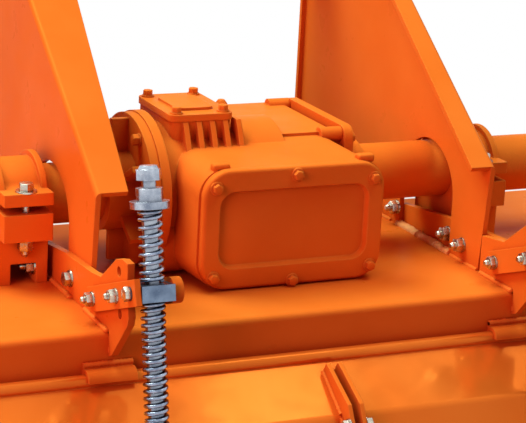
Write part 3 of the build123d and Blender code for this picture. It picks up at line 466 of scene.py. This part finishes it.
# %% [markdown]
# The spring gear is zinc plated: a cool bright metal with cloudy gloss. The wire is darker
# than the rod, so that its coils stand out. Bolts have the same plating with a faint straw
# tint, and shafts are ground steel.

# %% Plated and bare steel
# Painted shade: dark blue-grey for the gaps between coils and between parts
GAP_PAINTED_SHADE = colour(58, 62, 74)
GAP_SHADE_REACH = 0.012
GAP_SHADE_MOST = 0.8
SCRATCH_SPOTS = 900.0


def plated_steel(name, light, dark, gloss, cloud_spots, edge_radius):
    """Bright metal whose colour and gloss are cloudy, with painted shade darkening its gaps."""
    finish, tree, shader = blank_finish(name)
    cloud = spread(tree, grain(tree, cloud_spots, 5.0), 0, 0.3, 0.7, 0.0, 1.0)
    haze = spread(tree, grain(tree, cloud_spots * 2.3, 4.0), 0, 0.25, 0.75, gloss, gloss + 0.2)
    clouded = mix_colours(tree, cloud, light, dark)
    # Painted shade: gaps darken towards dark blue-grey
    tint = mix_colours(tree, painted_corner_shade(tree, GAP_SHADE_REACH, GAP_SHADE_MOST), clouded, GAP_PAINTED_SHADE)
    bumped(tree, shader, grain(tree, SCRATCH_SPOTS, 2.0), 0.0003, 0.12, rounded_normal(tree, edge_radius))
    link_nodes(tree, (tint, MIX_RESULT, shader, "Base Color"), (haze, 0, shader, "Roughness"))
    shader.inputs["Metallic"].default_value = 1.0
    return finish


zinc = plated_steel("zinc_plating", colour(200, 208, 220), colour(130, 140, 158), 0.14, 60.0, 0.0010)
wire_zinc = plated_steel("wire_zinc", colour(178, 190, 210), colour(104, 118, 144), 0.10, 90.0, 0.0006)
bolt_zinc = plated_steel("bolt_zinc", colour(226, 220, 204), colour(176, 170, 156), 0.18, 140.0, 0.0006)
block_zinc = plated_steel("block_zinc", colour(142, 160, 184), colour(92, 108, 132), 0.22, 40.0, 0.0012)
ground_steel = plated_steel("ground_steel", colour(196, 194, 190), colour(140, 138, 134), 0.24, 35.0, 0.0008)
print("metals:", [metal.name for metal in (zinc, wire_zinc, bolt_zinc, block_zinc, ground_steel)])

# %% [markdown]
# The blades are forged and blackened, and their feet are rubbed bright by soil. They share
# one solid with the painted disc. Faces could be picked one by one, but distance from the
# rotor's axis tells the three finishes apart by itself.

# %% Rotor finish by distance from its axis
rotor_joint = next(joint for joint in frame["joints"] if joint["name"] == "rotor_spin")
ROTOR_AXIS = rotor_joint["pos_m"]
DISC_RIM = 0.1135
PAINT_LINE = 0.0006
FOOT_START = 0.185
FOOT_END = 0.240
SCALE_GREY = colour(62, 60, 60)
SCALE_BLACK = colour(44, 42, 42)
WORN_STEEL = colour(150, 146, 140)
FORGED_METALLIC = 0.75


def blade_finish(name):
    """Orange disc in the middle, dark forged shank outside it, bright worn foot at the tip."""
    finish, tree, shader = blank_finish(name)
    where = tree.nodes.new("ShaderNodeTexCoord")
    centred = vector_step(tree, "SUBTRACT", where, "Object", (0.0, ROTOR_AXIS[1], ROTOR_AXIS[2]))
    sideways = vector_step(tree, "MULTIPLY", centred, 0, (0.0, 1.0, 1.0))
    reach = vector_step(tree, "LENGTH", sideways, 0)
    forged = spread(tree, reach, "Value", DISC_RIM, DISC_RIM + PAINT_LINE, 0.0, 1.0)
    rubbed = spread(tree, reach, "Value", FOOT_START, FOOT_END, 0.0, 1.0)
    patchy = spread(tree, grain(tree, 70.0, 5.0), 0, 0.35, 0.65, 0.0, 1.0)
    worn = arithmetic(tree, "MULTIPLY", rubbed, 0, patchy, 0)
    scale_dark = mix_colours(tree, patchy, SCALE_GREY, SCALE_BLACK)
    shank = mix_colours(tree, worn, scale_dark, WORN_STEEL)
    skin = mix_colours(tree, forged, ENAMEL, shank)
    metal = spread(tree, forged, 0, 0.0, 1.0, 0.0, FORGED_METALLIC)
    haze = spread(tree, grain(tree, 90.0, 4.0), 0, 0.3, 0.7, 0.32, 0.55)
    bumped(tree, shader, grain(tree, 500.0, 3.0), 0.0006, 0.3, rounded_normal(tree, 0.0012))
    link_nodes(
        tree,
        (skin, MIX_RESULT, shader, "Base Color"),
        (metal, 0, shader, "Metallic"),
        (haze, 0, shader, "Roughness"),
    )
    return finish


blade_steel = blade_finish("blade_steel_and_disc_enamel")
print("rotor axis:", [round(c, 4) for c in ROTOR_AXIS])

# %% [markdown]
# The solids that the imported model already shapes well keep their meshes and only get
# their finish. Sheets take the smooth enamel, castings the rougher one.

# %% Finishes for the solids
FINISH_BY_START = (
    (("gearbox", "tube_carrier", "clamp_", "side_gear_case", "bearing_hub"), cast_enamel),
    (("swivel_block",), block_zinc),
    (("spring_rod", "upper_spring", "lower_spring"), zinc),
    (("input_shaft", "lower_link_pin"), ground_steel),
    (("blade_gang",), blade_steel),
    (("trailing_board",), board_enamel),
)


def finish_for(node):
    """The finish of a solid, from the start of its name."""
    for starts, finish in FINISH_BY_START:
        if node.startswith(starts):
            return finish
    return sheet_enamel


for name, solid in nodes.items():
    solid.data.materials.clear()
    solid.data.materials.append(finish_for(name))
print("solids finished:", len(nodes))

# %% [markdown]
# ## Small helpers for new pieces
#
# A new piece is drawn in a bmesh, in metres and already in place, and then becomes an
# object that rides on one of the model's bodies. That way no object has to be moved later.


# %% Turn a bmesh into a piece
def make_piece(name, shape, body, finish, sharp=35.0):
    """Finish a bmesh as an object on a body, smooth except at edges sharper than the angle."""
    mesh = bpy.data.meshes.new(name)
    shape.to_mesh(mesh)
    shape.free()
    mesh.shade_smooth()
    mesh.set_sharp_from_angle(angle=radians(sharp))
    mesh.materials.append(finish)
    piece = bpy.data.objects.new(name, mesh)
    scene.collection.objects.link(piece)
    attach(piece, body)
    print(name, "faces:", len(mesh.polygons))
    return piece


def stood_on(place, along):
    """Matrix that stands a shape drawn up the Z axis on a point, along a direction."""
    return Matrix.Translation(place) @ Vector(along).to_track_quat("Z", "Y").to_matrix().to_4x4()


def drum(shape, stand, low, high, radius_low, radius_high, sides):
    """A closed drum or cone between two heights on a stand."""
    middle = Matrix.Translation((0.0, 0.0, (low + high) / 2))
    made = bmesh.ops.create_cone(
        shape,
        cap_ends=True,
        segments=sides,
        radius1=radius_low,
        radius2=radius_high,
        depth=high - low,
        matrix=stand @ middle,
    )
    return made["verts"]


print("piece helpers ready")

# %% [markdown]
# ## Springs
#
# A coil spring is a round wire on a screw path. A Screw modifier gives one pitch only, so a
# circle is spun about the rod with a step upwards at each turn: tightly for the closed end,
# then at the open pitch, then tightly again. The lower spring rides on its rod with a mesh of its own.

# %% Spring coils
ROD_LEAN = radians(10.8)
ROD_X = -301.5
SWIVEL_Y = -207.2
SWIVEL_Z = -4.5
WIRE = 5.4
WIRE_SIDES = 9
COIL_RADIUS = 14.2
TURN_STEPS = 22
UPPER_FOOT = 11.2
UPPER_HEAD = 108.2
UPPER_TURNS = 7
LOWER_FOOT = -181.2
LOWER_HEAD = -11.4
LOWER_TURNS = 16
COIL_SHARP = 60.0


def spring_coil(swivel, foot, head, open_turns):
    """Wire spun about the leaning rod from foot to head, with a closed turn at each end."""
    shape = bmesh.new()
    up = Vector(UP)
    wire_start = Matrix.Translation((COIL_RADIUS * MM, 0.0, (foot + WIRE / 2) * MM))
    wire_turn = Matrix.Rotation(pi / 2, 4, "X")
    bmesh.ops.create_circle(shape, segments=WIRE_SIDES, radius=WIRE / 2 * MM, matrix=wire_start @ wire_turn)
    section = shape.verts[:] + shape.edges[:]
    open_rise = head - foot - WIRE - 2 * WIRE
    for turns, rise in ((1, WIRE), (open_turns, open_rise), (1, WIRE)):
        steps = TURN_STEPS * turns
        spun = bmesh.ops.spin(
            shape,
            geom=section,
            cent=(0.0, 0.0, 0.0),
            axis=up,
            dvec=up * (rise * MM / steps),
            angle=2 * pi * turns,
            steps=steps,
            use_merge=False,
        )
        section = spun["geom_last"]
    ends = [edge for edge in shape.edges if edge.is_boundary]
    bmesh.ops.holes_fill(shape, edges=ends, sides=WIRE_SIDES + 1)
    bmesh.ops.recalc_face_normals(shape, faces=shape.faces[:])
    rod_stand = Matrix.Translation(swivel) @ Matrix.Rotation(-ROD_LEAN, 4, "X")
    bmesh.ops.transform(shape, matrix=rod_stand, verts=shape.verts[:])
    return shape


for side, hand, shift in SIDES:
    swivel = at(ROD_X + shift, SWIVEL_Y, SWIVEL_Z)
    upper_coil = spring_coil(swivel, UPPER_FOOT, UPPER_HEAD, UPPER_TURNS)
    upper = make_piece(f"upper_coil_{side}", upper_coil, f"swivel_{side}", wire_zinc, COIL_SHARP)
    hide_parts(f"upper_spring_{side}")
    lower_coil = spring_coil(swivel, LOWER_FOOT, LOWER_HEAD, LOWER_TURNS)
    lower = make_piece(f"lower_coil_{side}", lower_coil, f"rod_{side}", wire_zinc, COIL_SHARP)
    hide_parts(f"lower_spring_{side}")
    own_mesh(lower)

# %% [markdown]
# ## Bolts and nuts
#
# A hexagon head is a six-sided drum with its top edges bevelled, over a washer. A nut shows
# the end of its stud. A thread could be cut as a real screw, but at this size it wouldn't
# show. All bolts of a group are drawn into one mesh.

# %% Bolt and nut shapes
# Widths across the flats for each thread, in millimetres
M8 = 13.0
M10 = 17.0
M12 = 19.0
M16 = 24.0
# Shares of the width across the flats
HEX_BEVEL = 0.09
STUD_RADIUS = 0.29
STUD_TIP = 0.2

TOUCHING = 1e-5
WASHER_THICK = 2.2
WASHER_TAPER = 0.96
WASHER_SIDES = 24
STUD_SIDES = 14
STUD_STRAIGHT = 0.6


def hexagon(shape, stand, low, high, flats):
    """A six-sided drum with a bevelled top."""
    corner = flats / sqrt(3)
    verts = drum(shape, stand, low, high, corner, corner, 6)
    top = stand @ Vector((0.0, 0.0, high))
    up = (stand.to_3x3() @ Vector(UP)).normalized()
    on_top = {vert for vert in verts if abs((vert.co - top).dot(up)) < TOUCHING}
    rim = {edge for vert in on_top for edge in vert.link_edges if on_top.issuperset(edge.verts)}
    bmesh.ops.bevel(
        shape,
        geom=list(rim),
        offset=flats * HEX_BEVEL,
        segments=2,
        profile=0.5,
        affect="EDGES",
        material=-1,
    )


def bolt_head(shape, place, along, flats, height, washer=0.0, spin=0.0):
    """A bolt head, on a washer of the given radius if there is one; sizes in millimetres."""
    stand = stood_on(place, along) @ Matrix.Rotation(radians(spin), 4, "Z")
    foot = 0.0
    if washer:
        foot = WASHER_THICK * MM
        drum(shape, stand, 0.0, foot, washer * MM, washer * WASHER_TAPER * MM, WASHER_SIDES)
    hexagon(shape, stand, foot, foot + height * MM, flats * MM)


def nut_on_stud(shape, place, along, flats, height, stud, washer=0.0, spin=0.0):
    """A nut with the tapered end of its stud; sizes in millimetres."""
    bolt_head(shape, place, along, flats, height, washer, spin)
    stand = stood_on(place, along)
    foot = (height + (WASHER_THICK if washer else 0.0)) * MM
    shoulder = foot + stud * STUD_STRAIGHT * MM
    radius = flats * STUD_RADIUS * MM
    drum(shape, stand, foot - MM, shoulder, radius, radius, STUD_SIDES)
    drum(shape, stand, shoulder, foot + stud * MM, radius, flats * STUD_TIP * MM, STUD_SIDES)


print("bolt shapes ready")

# %% [markdown]
# The gearbox was painted after it was put together, so its own bolts are orange: round the
# rear cover, on the lid, and round the flanges on either side.

# %% Painted bolts of the gearbox
COVER_BOLT = {"flats": M8, "height": 7.0}
HOUSING_BOLT = {"flats": M8, "height": 8.0, "washer": 9.5}
RING_BOLT = {"flats": 15.0, "height": 9.0, "washer": 10.0}
COVER_BOLTS = ((-125.2, 66.3), (0.0, 78.8), (125.2, 66.3), (125.2, -66.3), (0.0, -78.8), (-125.2, -66.3))
COVER_PAD_Y = 0.6
COVER_PAD_RADII = (10.5, 9.8)
COVER_HEAD_Y = -1.4
LID_CENTRE = (-98.5, 192.0)
LID_BOLT_SPAN = (37.0, 57.0)
LID_TOP = 144.0
TUBE_PLACE = (178.0, 24.0)
RING_FACE_X = -194.0
RING_BOLT_RADIUS = 99.0
RING_BOLT_ANGLES = (0.0, 60.0, 120.0, 180.0)
FLANGE_FACE_X = 149.0
FLANGE_BOLTS = ((138.0, 92.0), (230.0, 98.0), (322.0, 96.0), (322.0, 10.0), (322.0, -62.0), (138.0, -62.0))

pad_low, pad_high = COVER_PAD_RADII
painted = bmesh.new()
for number, (x, z) in enumerate(COVER_BOLTS):
    pad_stand = stood_on(at(x, COVER_PAD_Y, z), REAR)
    drum(painted, pad_stand, 0.0, WASHER_THICK * MM, pad_low * MM, pad_high * MM, WASHER_SIDES)
    bolt_head(painted, at(x, COVER_HEAD_Y, z), REAR, **COVER_BOLT, spin=17.0 * number)
for across_lid in (-1, 1):
    for along_lid in (-1, 1):
        x = LID_CENTRE[0] + across_lid * LID_BOLT_SPAN[0]
        y = LID_CENTRE[1] + along_lid * LID_BOLT_SPAN[1]
        bolt_head(painted, at(x, y, LID_TOP), UP, **HOUSING_BOLT, spin=20.0 * along_lid + 8.0)
for angle in RING_BOLT_ANGLES:
    place = at(RING_FACE_X, *around(TUBE_PLACE, RING_BOLT_RADIUS, angle))
    bolt_head(painted, place, LEFT, **RING_BOLT, spin=angle)
for number, (y, z) in enumerate(FLANGE_BOLTS):
    bolt_head(painted, at(FLANGE_FACE_X, y, z), RIGHT, **HOUSING_BOLT, spin=13.0 * number)
make_piece("gearbox_bolts", painted, "frame", cast_enamel)

# %% [markdown]
# Bolts that were fitted after painting are bright. They hold the spring arms to their
# brackets, the brackets to the mast plates, and the tube's saddles to their cradles.

# %% Bright bolts on brackets, arms and clamps
ARM_NUT = {"flats": M10, "height": 9.0, "stud": 6.0, "washer": 10.5}
PIVOT_HEAD = {"flats": M10, "height": 7.0}
LEG_NUT = {"flats": M12, "height": 11.0, "stud": 8.0, "washer": 13.0}
BRACKET_NUT = {"flats": M12, "height": 11.0, "stud": 8.0, "washer": 11.5}
BRACKET_HEAD = {"flats": M12, "height": 9.0, "washer": 12.5}
SADDLE_HEAD = {"flats": M12, "height": 11.0, "washer": 16.0}
CRADLE_NUT = {"flats": M12, "height": 14.0, "stud": 9.0, "washer": 15.0}
ARM_FALL = radians(20.5)
ARM_BOLT_RUNS = (53.0, 146.0)
ARM_FACE = -333.0
PIVOT_FACE = -335.0
WEB_FACE = 307.0
BRACKET_FACE = 325.0
LEG_FACE = 352.0
LEG_BOLT = (125.0, -66.0)
BRACKET_BOLTS = ((252.0, -60.0, 0.0), (99.0, -61.0, 8.0), (41.0, -62.0, 0.0))
BRACKET_HEAD_PLACE = BRACKET_BOLTS[-1][:2]
CLAMP_X = 371.0
CLAMP_EAR_REACH = 72.5
SADDLE_EAR_TOP = 50.0
CRADLE_EAR_LOW = -20.0
CLAMP_STUD_LOW = 18.0
CLAMP_STUD_LENGTH = 16.0
CLAMP_STUD_RADIUS = 6.0

stud_radius = CLAMP_STUD_RADIUS * MM
for side, hand, shift in SIDES:
    outward = (hand, 0, 0)
    inward = (-hand, 0, 0)
    bright = bmesh.new()
    for run in ARM_BOLT_RUNS:
        place = at(ARM_FACE + shift, SWIVEL_Y + run * cos(ARM_FALL), SWIVEL_Z - run * sin(ARM_FALL))
        nut_on_stud(bright, place, LEFT, **ARM_NUT, spin=run)
    bolt_head(bright, at(PIVOT_FACE + shift, SWIVEL_Y, SWIVEL_Z), LEFT, **PIVOT_HEAD, spin=11.0)
    nut_on_stud(bright, at(hand * LEG_FACE, *LEG_BOLT), outward, **LEG_NUT)
    for y, z, inset in BRACKET_BOLTS:
        nut_on_stud(bright, at(hand * (WEB_FACE + inset), y, z), inward, **BRACKET_NUT, spin=y)
    bolt_head(bright, at(hand * BRACKET_FACE, *BRACKET_HEAD_PLACE), outward, **BRACKET_HEAD, spin=41.0)
    for ear in (-1, 1):
        x = hand * CLAMP_X
        y = TUBE_PLACE[0] + ear * CLAMP_EAR_REACH
        bolt_head(bright, at(x, y, SADDLE_EAR_TOP), UP, **SADDLE_HEAD, spin=9.0 * ear)
        nut_on_stud(bright, at(x, y, CRADLE_EAR_LOW), DOWN, **CRADLE_NUT)
        stud_stand = stood_on(at(x, y, CLAMP_STUD_LOW), UP)
        drum(bright, stud_stand, 0.0, CLAMP_STUD_LENGTH * MM, stud_radius, stud_radius, STUD_SIDES)
    make_piece(f"bright_bolts_{side}", bright, "frame", bolt_zinc)

# %% [markdown]
# ## Weld beads
#
# A weld is a row of overlapping ripples. Bump alone would leave its outline straight, so a
# small ring is extruded along the seam step by step, and every step is swollen or shrunk a
# little, with a fixed seed so it never changes.

# %% Bead shape
RIPPLE = 0.0026
BEAD_SIDES = 7
BEAD_WANDER = 0.03
BEAD_CREST = (0.98, 1.22)
BEAD_TROUGH = (0.72, 0.9)
BEAD_SHARP = 80.0
ripple_dice = random.Random(7)


def weld_bead(shape, start, end, radius):
    """A rippled bead from start to end, given in metres; radius in millimetres."""
    run = end - start
    steps = max(4, int(run.length / RIPPLE))
    ring = bmesh.ops.create_circle(
        shape, segments=BEAD_SIDES, radius=radius * MM, cap_ends=True, matrix=stood_on(start, run)
    )["verts"]
    edges = list({edge for vert in ring for edge in vert.link_edges})
    swell = 1.0
    for step in range(steps):
        made = bmesh.ops.extrude_edge_only(shape, edges=edges)["geom"]
        ring = [part for part in made if isinstance(part, bmesh.types.BMVert)]
        new_edges = [part for part in made if isinstance(part, bmesh.types.BMEdge)]
        edges = [edge for edge in new_edges if set(ring).issuperset(edge.verts)]
        wander = Vector([ripple_dice.uniform(-BEAD_WANDER, BEAD_WANDER) for axis in "xyz"]) * radius * MM
        target = ripple_dice.uniform(*(BEAD_CREST if step % 2 else BEAD_TROUGH))
        bmesh.ops.translate(shape, vec=run / steps, verts=ring)
        middle = start + run * ((step + 1) / steps)
        bmesh.ops.scale(
            shape, vec=Vector((1, 1, 1)) * (target / swell), space=Matrix.Translation(-middle), verts=ring
        )
        bmesh.ops.translate(shape, vec=wander, verts=ring)
        swell = target
    bmesh.ops.holes_fill(shape, edges=edges, sides=BEAD_SIDES + 1)


print("bead shape ready, a ripple every", RIPPLE, "m")

# %% [markdown]
# The brackets are welded to the deck along their feet, and so are the mast plates. The
# bead inside each mast foot is thick and was left paler, so it is a piece of its own.

# %% Welds of the brackets and the mast
DECK_SEAM_Z = -87.0
FOOT_FACE = 325.5
FOOT_RUN = (250.0, 30.0)
FAN_FACE = -325.5
FAN_RUN = (-22.0, -114.0)
FAN_THICK = 10.0
TAIL_SEAM = (-117.0, -113.0)
BRACKET_BEAD = 4.0
WEB_SEAM_Z = -87.5
WEB_SEAMS = ((268.0, 372.0, 4.0), (-8.0, 74.0, 3.5))
ARCH_FACE = 309.0
ARCH_RUN = (76.0, 248.0)
ARCH_BEAD = 8.0


def seam_along(shape, x, run, z, radius):
    """A bead that runs fore and aft at one place across and one height."""
    start, end = run
    weld_bead(shape, at(x, start, z), at(x, end, z), radius)


welds = bmesh.new()
for side, hand, shift in SIDES:
    fan_x = FAN_FACE + shift
    seam_along(welds, hand * FOOT_FACE, FOOT_RUN, DECK_SEAM_Z, BRACKET_BEAD)
    seam_along(welds, fan_x, FAN_RUN, DECK_SEAM_Z, BRACKET_BEAD)
    weld_bead(welds, at(fan_x, *TAIL_SEAM), at(fan_x + FAN_THICK, *TAIL_SEAM), BRACKET_BEAD)
    for start, end, radius in WEB_SEAMS:
        seam_along(welds, hand * WEB_FACE, (start, end), WEB_SEAM_Z, radius)
make_piece("frame_welds", welds, "frame", weld_enamel, BEAD_SHARP)

foot_beads = bmesh.new()
for side, hand, shift in SIDES:
    seam_along(foot_beads, hand * ARCH_FACE, ARCH_RUN, WEB_SEAM_Z, ARCH_BEAD)
make_piece("foot_beads", foot_beads, "frame", bead_enamel, BEAD_SHARP)

# %% [markdown]
# The board's ribs and the hinge straps are welded on too, and the hood is welded to its side
# plates all along the ends. The board's own welds ride with the board.

# %% Welds of the board, the straps and the hood's ends
HINGE = (-127.5, -151.0)
UPPER_FALL = radians(33.5)
LOWER_FALL = radians(62.0)
UPPER_RUN = 103.0
FOLD_GAP = 2.0
RIB_SIDES = (-17.0, 9.0)
RIB_START = 26.0
RIB_END = 330.0
RIB_BEAD = 3.4
STRAP_XS = (-640.0, -326.0, 301.0, 640.0)
STRAP_HALF = 35.0
STRAP_SEAM = (-119.0, -131.0)
STRAP_BEAD = 4.2
END_X = 739.0
END_RUN = (-108.0, 377.0)
END_BEAD = 3.6


def on_board(run):
    """Depth and height of a point that far down the board from its hinge."""
    upper_run = min(run, UPPER_RUN)
    lower_run = max(run - UPPER_RUN, 0.0)
    y = HINGE[0] - upper_run * cos(UPPER_FALL) - lower_run * cos(LOWER_FALL)
    z = HINGE[1] - upper_run * sin(UPPER_FALL) - lower_run * sin(LOWER_FALL)
    return y, z


board_welds = bmesh.new()
for x in RIB_SIDES:
    for start, end in ((RIB_START, UPPER_RUN - FOLD_GAP), (UPPER_RUN + FOLD_GAP, RIB_END)):
        weld_bead(board_welds, at(x, *on_board(start)), at(x, *on_board(end)), RIB_BEAD)
make_piece("board_welds", board_welds, "board", weld_enamel, BEAD_SHARP)

hood_welds = bmesh.new()
for x in STRAP_XS:
    weld_bead(hood_welds, at(x - STRAP_HALF, *STRAP_SEAM), at(x + STRAP_HALF, *STRAP_SEAM), STRAP_BEAD)
for hand in (-1, 1):
    seam_along(hood_welds, hand * END_X, END_RUN, DECK_SEAM_Z, END_BEAD)
make_piece("hood_welds", hood_welds, "frame", weld_enamel, BEAD_SHARP)

# %% [markdown]
# ## Bolts at the sides
#
# A ring of bolts closes the side gear case. Its places lie on a belt round the two shafts,
# so they are worked out as a belt and not listed one by one.

# %% Side bolts
CASE_BOLT = {"flats": M8, "height": 8.0, "washer": 9.0}
BEARING_BOLT = {"flats": M10, "height": 10.0, "washer": 12.0}
SKID_BOLT = {"flats": M12, "height": 11.0, "washer": 14.0}
ROTOR_PLACE = (44.0, -396.0)
CASE_FLANGE_X = -760.0
CASE_BOLT_RADII = (100.0, 112.0)
CASE_ARC_BOLTS = 3
CASE_SIDE_STEPS = 4
HUB_FLANGE_X = 766.0
HUB_BOLT_RADIUS = 73.0
SIDE_X = 748.0
TUBE_BOLT_RADIUS = 62.0
SKID_X = 756.0
SKID_BOLTS = ((-134.0, -34.0), (-126.0, -64.0), (158.0, -40.0), (134.0, -66.0))


def belt_points(first, first_radius, second, second_radius):
    """Points on a belt round two pulleys, on both arcs and both straight runs."""
    first, second = Vector(first), Vector(second)
    run = second - first
    base = atan2(run.y, run.x)
    lean = acos((first_radius - second_radius) / run.length)
    points = []
    for hand in (-1, 1):
        out = Vector((cos(base + hand * lean), sin(base + hand * lean)))
        near, far = first + out * first_radius, second + out * second_radius
        points += [near.lerp(far, step / CASE_SIDE_STEPS) for step in range(CASE_SIDE_STEPS + 1)]
    first_arc = (first, first_radius, base + lean, 2 * pi - 2 * lean)
    second_arc = (second, second_radius, base - lean, 2 * lean)
    for middle, radius, start, sweep in (first_arc, second_arc):
        for step in range(1, CASE_ARC_BOLTS + 1):
            angle = start + sweep * step / (CASE_ARC_BOLTS + 1)
            points.append(middle + radius * Vector((cos(angle), sin(angle))))
    return points


side_bolts = bmesh.new()
for y, z in belt_points(TUBE_PLACE, CASE_BOLT_RADII[0], ROTOR_PLACE, CASE_BOLT_RADII[1]):
    bolt_head(side_bolts, at(CASE_FLANGE_X, y, z), LEFT, **CASE_BOLT, spin=z)
for step in range(6):
    angle = 60.0 * step + 30.0
    hub_place = at(HUB_FLANGE_X, *around(ROTOR_PLACE, HUB_BOLT_RADIUS, angle))
    bolt_head(side_bolts, hub_place, RIGHT, **BEARING_BOLT, spin=15.0 * step)
    tube_place = at(SIDE_X, *around(TUBE_PLACE, TUBE_BOLT_RADIUS, angle))
    bolt_head(side_bolts, tube_place, RIGHT, **BEARING_BOLT, spin=20.0 * step)
for hand in (-1, 1):
    for y, z in SKID_BOLTS:
        place = at(hand * SKID_X, ROTOR_PLACE[0] + y, ROTOR_PLACE[1] + z)
        bolt_head(side_bolts, place, (hand, 0, 0), **SKID_BOLT, spin=y)
make_piece("side_bolts", side_bolts, "frame", bolt_zinc)

# %% [markdown]
# ## Bolts on the rotor
#
# Each blade is held to its disc by two bolts. Blades take turns on either face of the disc,
# and every gang is turned a little from the last, so two loops place them all. The piece
# rides on the rotor and turns with it.

# %% Blade bolts
BLADE_HEAD = {"flats": M10, "height": 9.0}
BLADE_NUT = {"flats": M10, "height": 10.0, "stud": 4.0}
GANGS = 6
GANG_STEP = 240.0
GANG_TURN = 20.0
GANG_BLADES = 6
BLADE_TURN = 60.0
BLADE_FACE = 13.0
DISC_FACE = 5.0
BLADE_BOLT_RADII = (76.0, 99.0)

blade_bolts = bmesh.new()
for gang in range(GANGS):
    gang_x = (gang - (GANGS - 1) / 2) * GANG_STEP
    for blade in range(GANG_BLADES):
        angle = blade * BLADE_TURN + gang * GANG_TURN
        hand = 1 if blade % 2 == 0 else -1
        for radius in BLADE_BOLT_RADII:
            y, z = around(ROTOR_PLACE, radius, angle)
            head_place = at(gang_x + hand * BLADE_FACE, y, z)
            bolt_head(blade_bolts, head_place, (hand, 0, 0), **BLADE_HEAD, spin=radius)
            nut_place = at(gang_x - hand * DISC_FACE, y, z)
            nut_on_stud(blade_bolts, nut_place, (-hand, 0, 0), **BLADE_NUT)
make_piece("blade_bolts", blade_bolts, "rotor", ground_steel)

# %% [markdown]
# The spring rods are pinned to the board's lugs by bolts, and a cross bolt ties the twin
# ribs together. All of them ride with the board.

# %% Pins on the board
PIN_HEAD = {"flats": M16, "height": 10.0}
PIN_NUT = {"flats": M16, "height": 13.0, "stud": 7.0, "washer": 15.0}
RIB_HEAD = {"flats": M8, "height": 8.0, "washer": 9.0}
RIB_NUT = {"flats": M8, "height": 8.0, "stud": 4.0, "washer": 9.0}
EYE = (-248.2, -219.0)
LUG_HALF = 23.0
RIB_BOLT = (-236.0, -212.0)
RIB_LEFT_FACE = -16.0
RIB_RIGHT_FACE = 8.0

board_bolts = bmesh.new()
for side, hand, shift in SIDES:
    x = ROD_X + shift
    bolt_head(board_bolts, at(x - LUG_HALF, *EYE), LEFT, **PIN_HEAD, spin=7.0)
    nut_on_stud(board_bolts, at(x + LUG_HALF, *EYE), RIGHT, **PIN_NUT)
bolt_head(board_bolts, at(RIB_RIGHT_FACE, *RIB_BOLT), RIGHT, **RIB_HEAD, spin=12.0)
nut_on_stud(board_bolts, at(RIB_LEFT_FACE, *RIB_BOLT), LEFT, **RIB_NUT)
make_piece("board_bolts", board_bolts, "board", bolt_zinc)

# %% [markdown]
# ## Castings on the gearbox
#
# Small cast lugs stand behind the rear cover's upper corners, and a breather is screwed in
# beside the lid. Lugs are cubes with every edge bevelled, as a mould leaves them. The
# breather is a stack of drums with a hexagon for the spanner.

# %% Gearbox lugs and breather
LUG_SIZE = (26.0, 16.0, 12.0)
LUG_EDGE = 3.5
CORNER_LUGS = ((-112.0, 22.0, 91.0), (118.0, 22.0, 92.0))
BREATHER_PLACE = (-22.0, 232.0, 0.0)
BREATHER_STEPS = ((100.0, 112.0, 11.0, 10.0), (120.0, 132.0, 8.5, 9.5), (132.0, 138.0, 9.5, 5.0))
BREATHER_HEX = (112.0, 120.0)
BREATHER_SIDES = 20


def cast_block(shape, middle, size, rounding):
    """A block with rounded edges; middle in metres, size and rounding in millimetres."""
    stretch = Matrix.Diagonal(Vector(size) * MM).to_4x4()
    verts = bmesh.ops.create_cube(shape, size=1.0, matrix=Matrix.Translation(middle) @ stretch)["verts"]
    edges = list({edge for vert in verts for edge in vert.link_edges})
    bmesh.ops.bevel(
        shape, geom=edges, offset=rounding * MM, segments=3, profile=0.5, affect="EDGES", material=-1
    )


castings = bmesh.new()
for place in CORNER_LUGS:
    cast_block(castings, at(*place), LUG_SIZE, LUG_EDGE)
breather_stand = stood_on(at(*BREATHER_PLACE), UP)
for low, high, radius_low, radius_high in BREATHER_STEPS:
    drum(castings, breather_stand, low * MM, high * MM, radius_low * MM, radius_high * MM, BREATHER_SIDES)
hexagon(castings, breather_stand, BREATHER_HEX[0] * MM, BREATHER_HEX[1] * MM, M12 * MM)
make_piece("gearbox_castings", castings, "frame", cast_enamel)
